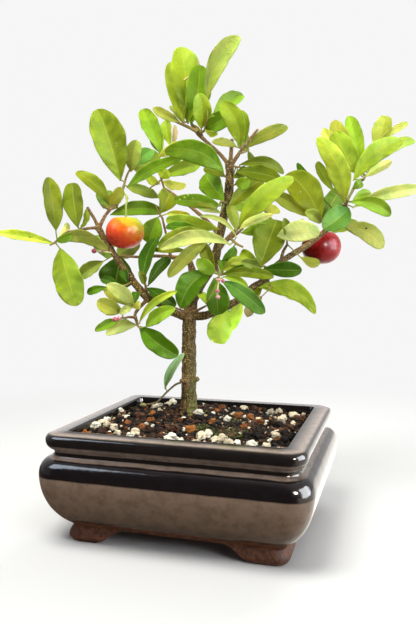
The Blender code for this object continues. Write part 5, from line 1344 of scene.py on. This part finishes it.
def build_soil():
    """The filling, with an uneven crust, down to near the pot's floor."""
    half_x = POT_HALF_X - WALL_INSET - GAP
    half_y = POT_HALF_Y - WALL_INSET - GAP
    columns = int(2 * half_x / BED_CELL)
    rows = int(2 * half_y / BED_CELL)
    points = []
    for j in range(rows + 1):
        for i in range(columns + 1):
            x = -half_x + 2 * half_x * i / columns
            y = -half_y + 2 * half_y * j / rows
            crumb = noise.fractal(Vector((x, y, 3.0)) * 0.22, 1.0, 2.0, 5)
            fine = noise.noise(Vector((x, y, 9.0)) * 0.8)
            points.append(Vector((x, y, soil_height(x, y) - BED_DROP + CRUMB * crumb + 0.5 * fine)))
    count = len(points)
    wide = columns + 1
    faces = [(a, a + 1, a + wide + 1, a + wide)
             for j in range(rows) for a in range(j * wide, j * wide + columns)]
    rim = (list(range(columns)) + [columns + j * wide for j in range(rows)]
           + [rows * wide + i for i in range(columns, 0, -1)]
           + [j * wide for j in range(rows, 0, -1)])
    for i in rim:
        p = points[i]
        points.append(Vector((p.x * (1 - WALL_SLOPE / half_x), p.y * (1 - WALL_SLOPE / half_y),
                              FLOOR_TOP + 2.0)))
    for k, here in enumerate(rim):
        nxt = (k + 1) % len(rim)
        faces.append((here, count + k, count + nxt, rim[nxt]))
    faces.append(tuple(range(count, count + len(rim))))
    shape = Shape()
    shape.add(points, faces, BED_TINT)
    shape.piece("soil_bed", "soil", "soil", material=grain_material(
        "soil_bed", ((0.3, 0.35), (0.5, 1.0), (0.75, 2.4)), 0.7))


def on_soil(x, y):
    """The place where a picture point meets the soil."""
    way = seen(x, y) - VIEW_EYE
    place = VIEW_EYE + way * ((VIEW_EYE.z - SOIL_EDGE_Z - 1.0) / -way.z)
    return place.x, place.y


def grain_parts(shape, ball, faces, x, y, size, flat, tones, draw, rise=0.0):
    """One rough, half-sunk grain in one of the tones."""
    tone = tones[draw.randrange(len(tones))]
    spin = Matrix.Rotation(draw.uniform(0, math.tau), 3, "Z") @ Matrix.Rotation(
        draw.uniform(-0.6, 0.6), 3, "X")
    seed = Vector((draw.uniform(0, 50), draw.uniform(0, 50), 0))
    sink = draw.uniform(0.0, 0.45)
    centre = Vector((x, y, soil_height(x, y) - GRAIN_DROP + rise + size * flat * (0.5 - sink)))
    long = draw.uniform(0.50, 0.68)
    grain = []
    for p in ball:
        lump = 1 + 0.55 * noise.noise(p * 1.5 + seed) + 0.16 * noise.noise(p * 4.5 + seed)
        grain.append(centre + spin @ Vector((p.x * size * long, p.y * size * 0.45,
                                             p.z * size * 0.48 * flat)) * lump)
    bright = draw.uniform(0.7, 1.25)
    shape.add(grain, faces, tuple(c * bright for c in tone))


def build_grit():
    draw = random.Random(11)
    small = icosphere(2)
    fine = icosphere(3)
    half_x = POT_HALF_X - WALL_INSET - 0.8
    half_y = POT_HALF_Y - WALL_INSET - 0.8
    for name, share, (least, most), tones, flat in GRIT:
        shape = Shape()
        for _ in range(int(GRAIN_COUNT * share)):
            size = least + (most - least) * draw.random() ** 1.7
            x = draw.uniform(-1, 1) * (half_x - size / 2)
            y = draw.uniform(-1, 1) * (half_y - size / 2)
            if math.hypot(x - TREE_FOOT.x, y - TREE_FOOT.y) < TRUNK_ROOM:
                continue
            grain_parts(shape, *small, x, y, size, flat, tones, draw)
        for px, py, size in STONES.get(name, ()):
            x, y = on_soil(px, py)
            x = max(-half_x + size / 2, min(half_x - size / 2, x))
            y = max(-half_y + size / 2, min(half_y - size / 2, y))
            grain_parts(shape, *fine, x, y, size * STONE_GROWTH, 0.95, tones[:2], draw, STONE_RISE)
        shape.piece(name, "soil", sharp=42, material=grain_material(
            name, ((0.3, 0.45), (0.5, 1.0), (0.72, 1.4)), 1.1))
    shape = Shape()
    for px, py, wide in MOSS:
        x, y = on_soil(px, py)
        for _ in range(int(MOSS_TUFTS * wide ** 2)):
            turn = draw.uniform(0, math.tau)
            away = wide / 2 * draw.random() ** 0.6
            size = draw.uniform(0.5, 1.3)
            grain_parts(shape, *small, x + away * math.cos(turn), y + away * math.sin(turn) * 1.2,
                        size, 1.5, MOSS_TONES, draw)
    shape.piece("moss", "soil", material=grain_material(
        "moss", ((0.3, 0.5), (0.5, 1.0), (0.72, 1.8)), 2.5, strength=1.0))


# The stage

def build_stage():
    """Pale paper under the object; the glaze mirrors it dark in front and pale behind, because in
    glossy rays the floor glows with a painted reflection.
    """
    mesh = bpy.data.meshes.new("floor")
    mesh.from_pydata([(x * FLOOR_REACH, y * FLOOR_REACH, 0)
                      for x, y in ((-1, -1), (1, -1), (1, 1), (-1, 1))], [], [(0, 1, 2, 3)])
    floor = add_object("floor", mesh)
    m = Maker("paper_floor")
    place = m.get("ShaderNodeTexCoord", "Object")
    away = m.get("ShaderNodeVectorMath", "Value", ((0, place),), operation="LENGTH")
    beyond = m.vector("DOT_PRODUCT", place, (0.75, 0.66, 0.0), "Value")
    mirrored = m.ramp(beyond * 4.0 + 0.5, (0.35, FLOOR_DARK), (0.75, FLOOR_PALE))
    m.finish((0.45, 0.45, 0.45), 0.9, Specular_IOR_Level=0.1)
    glow = m.get("ShaderNodeEmission", 0, (("Color", BACKDROP),))
    shown = m.mix_shader(m.ramp(away, (0.14, 0.0), (0.55, 1.0)), Wire(m, m.shader.outputs[0]), glow)
    # In glossy rays the floor glows: painted reflection, dark in front of the pot and bright behind it
    # on the right
    glint = m.get("ShaderNodeEmission", 0, (("Color", mirrored),))
    floor.data.materials.append(m.surface(m.mix_shader(
        m.get("ShaderNodeLightPath", "Is Glossy Ray"), shown, glint)))


def build_light():
    """A pale paper studio: bright behind and above, dim in front, with soft lamps."""
    scene = bpy.context.scene
    scene.view_settings.view_transform = "Standard"
    scene.world = bpy.data.worlds.new("studio")
    m = Maker(scene.world)
    behind = m.vector("DOT_PRODUCT", m.get("ShaderNodeTexCoord", "Generated"), (0.45, 0.80, 0.25),
                      "Value")
    room = m.get("ShaderNodeMapRange", 0, ((0, behind), ("From Min", -0.55), ("From Max", 0.45)),
                 interpolation_type="SMOOTHSTEP")
    tone = m.mix(room, ROOM_DARK, ROOM_PALE)
    tone = m.mix(m.get("ShaderNodeLightPath", "Is Glossy Ray"), tone, (MIRRORED_ROOM,) * 3,
                 "MULTIPLY")
    tone = m.mix(m.get("ShaderNodeLightPath", "Is Camera Ray"), tone, BACKDROP)
    m.feed(m.nodes["Background"].inputs["Color"], tone)
    for name, place, size, power, colour, shines, lights in LAMPS:
        lamp = add_object(name, configure(bpy.data.lights.new(name, "AREA"), size=size,
                                          energy=power, color=colour))
        configure(lamp, location=Vector(place) * MM, visible_glossy=shines, visible_diffuse=lights,
                  visible_transmission=lights)
        toward = LAMP_TARGET * MM - lamp.location
        lamp.rotation_euler = toward.to_track_quat("-Z", "Y").to_euler()


def build_camera():
    data = configure(bpy.data.cameras.new("camera"), sensor_width=SENSOR, clip_start=0.01,
                     lens=VIEW_FOCAL * SENSOR / PICTURE_TALL)
    camera = add_object("camera", data)
    camera.matrix_world = Matrix.Translation((VIEW_EYE + SHIFT) * MM) @ Matrix(
        (RIGHT, UP, -FORWARD)).transposed().to_4x4()
    bpy.context.scene.camera = camera


build_camera()
build_light()
build_stage()
build_pot()
build_soil()
build_grit()
build_tree()
build_sprays()
build_low_twig()
build_fruit()
build_buds()
for side in ("left", "right"):
    paint(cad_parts["drain_screen_" + side], SCREEN)
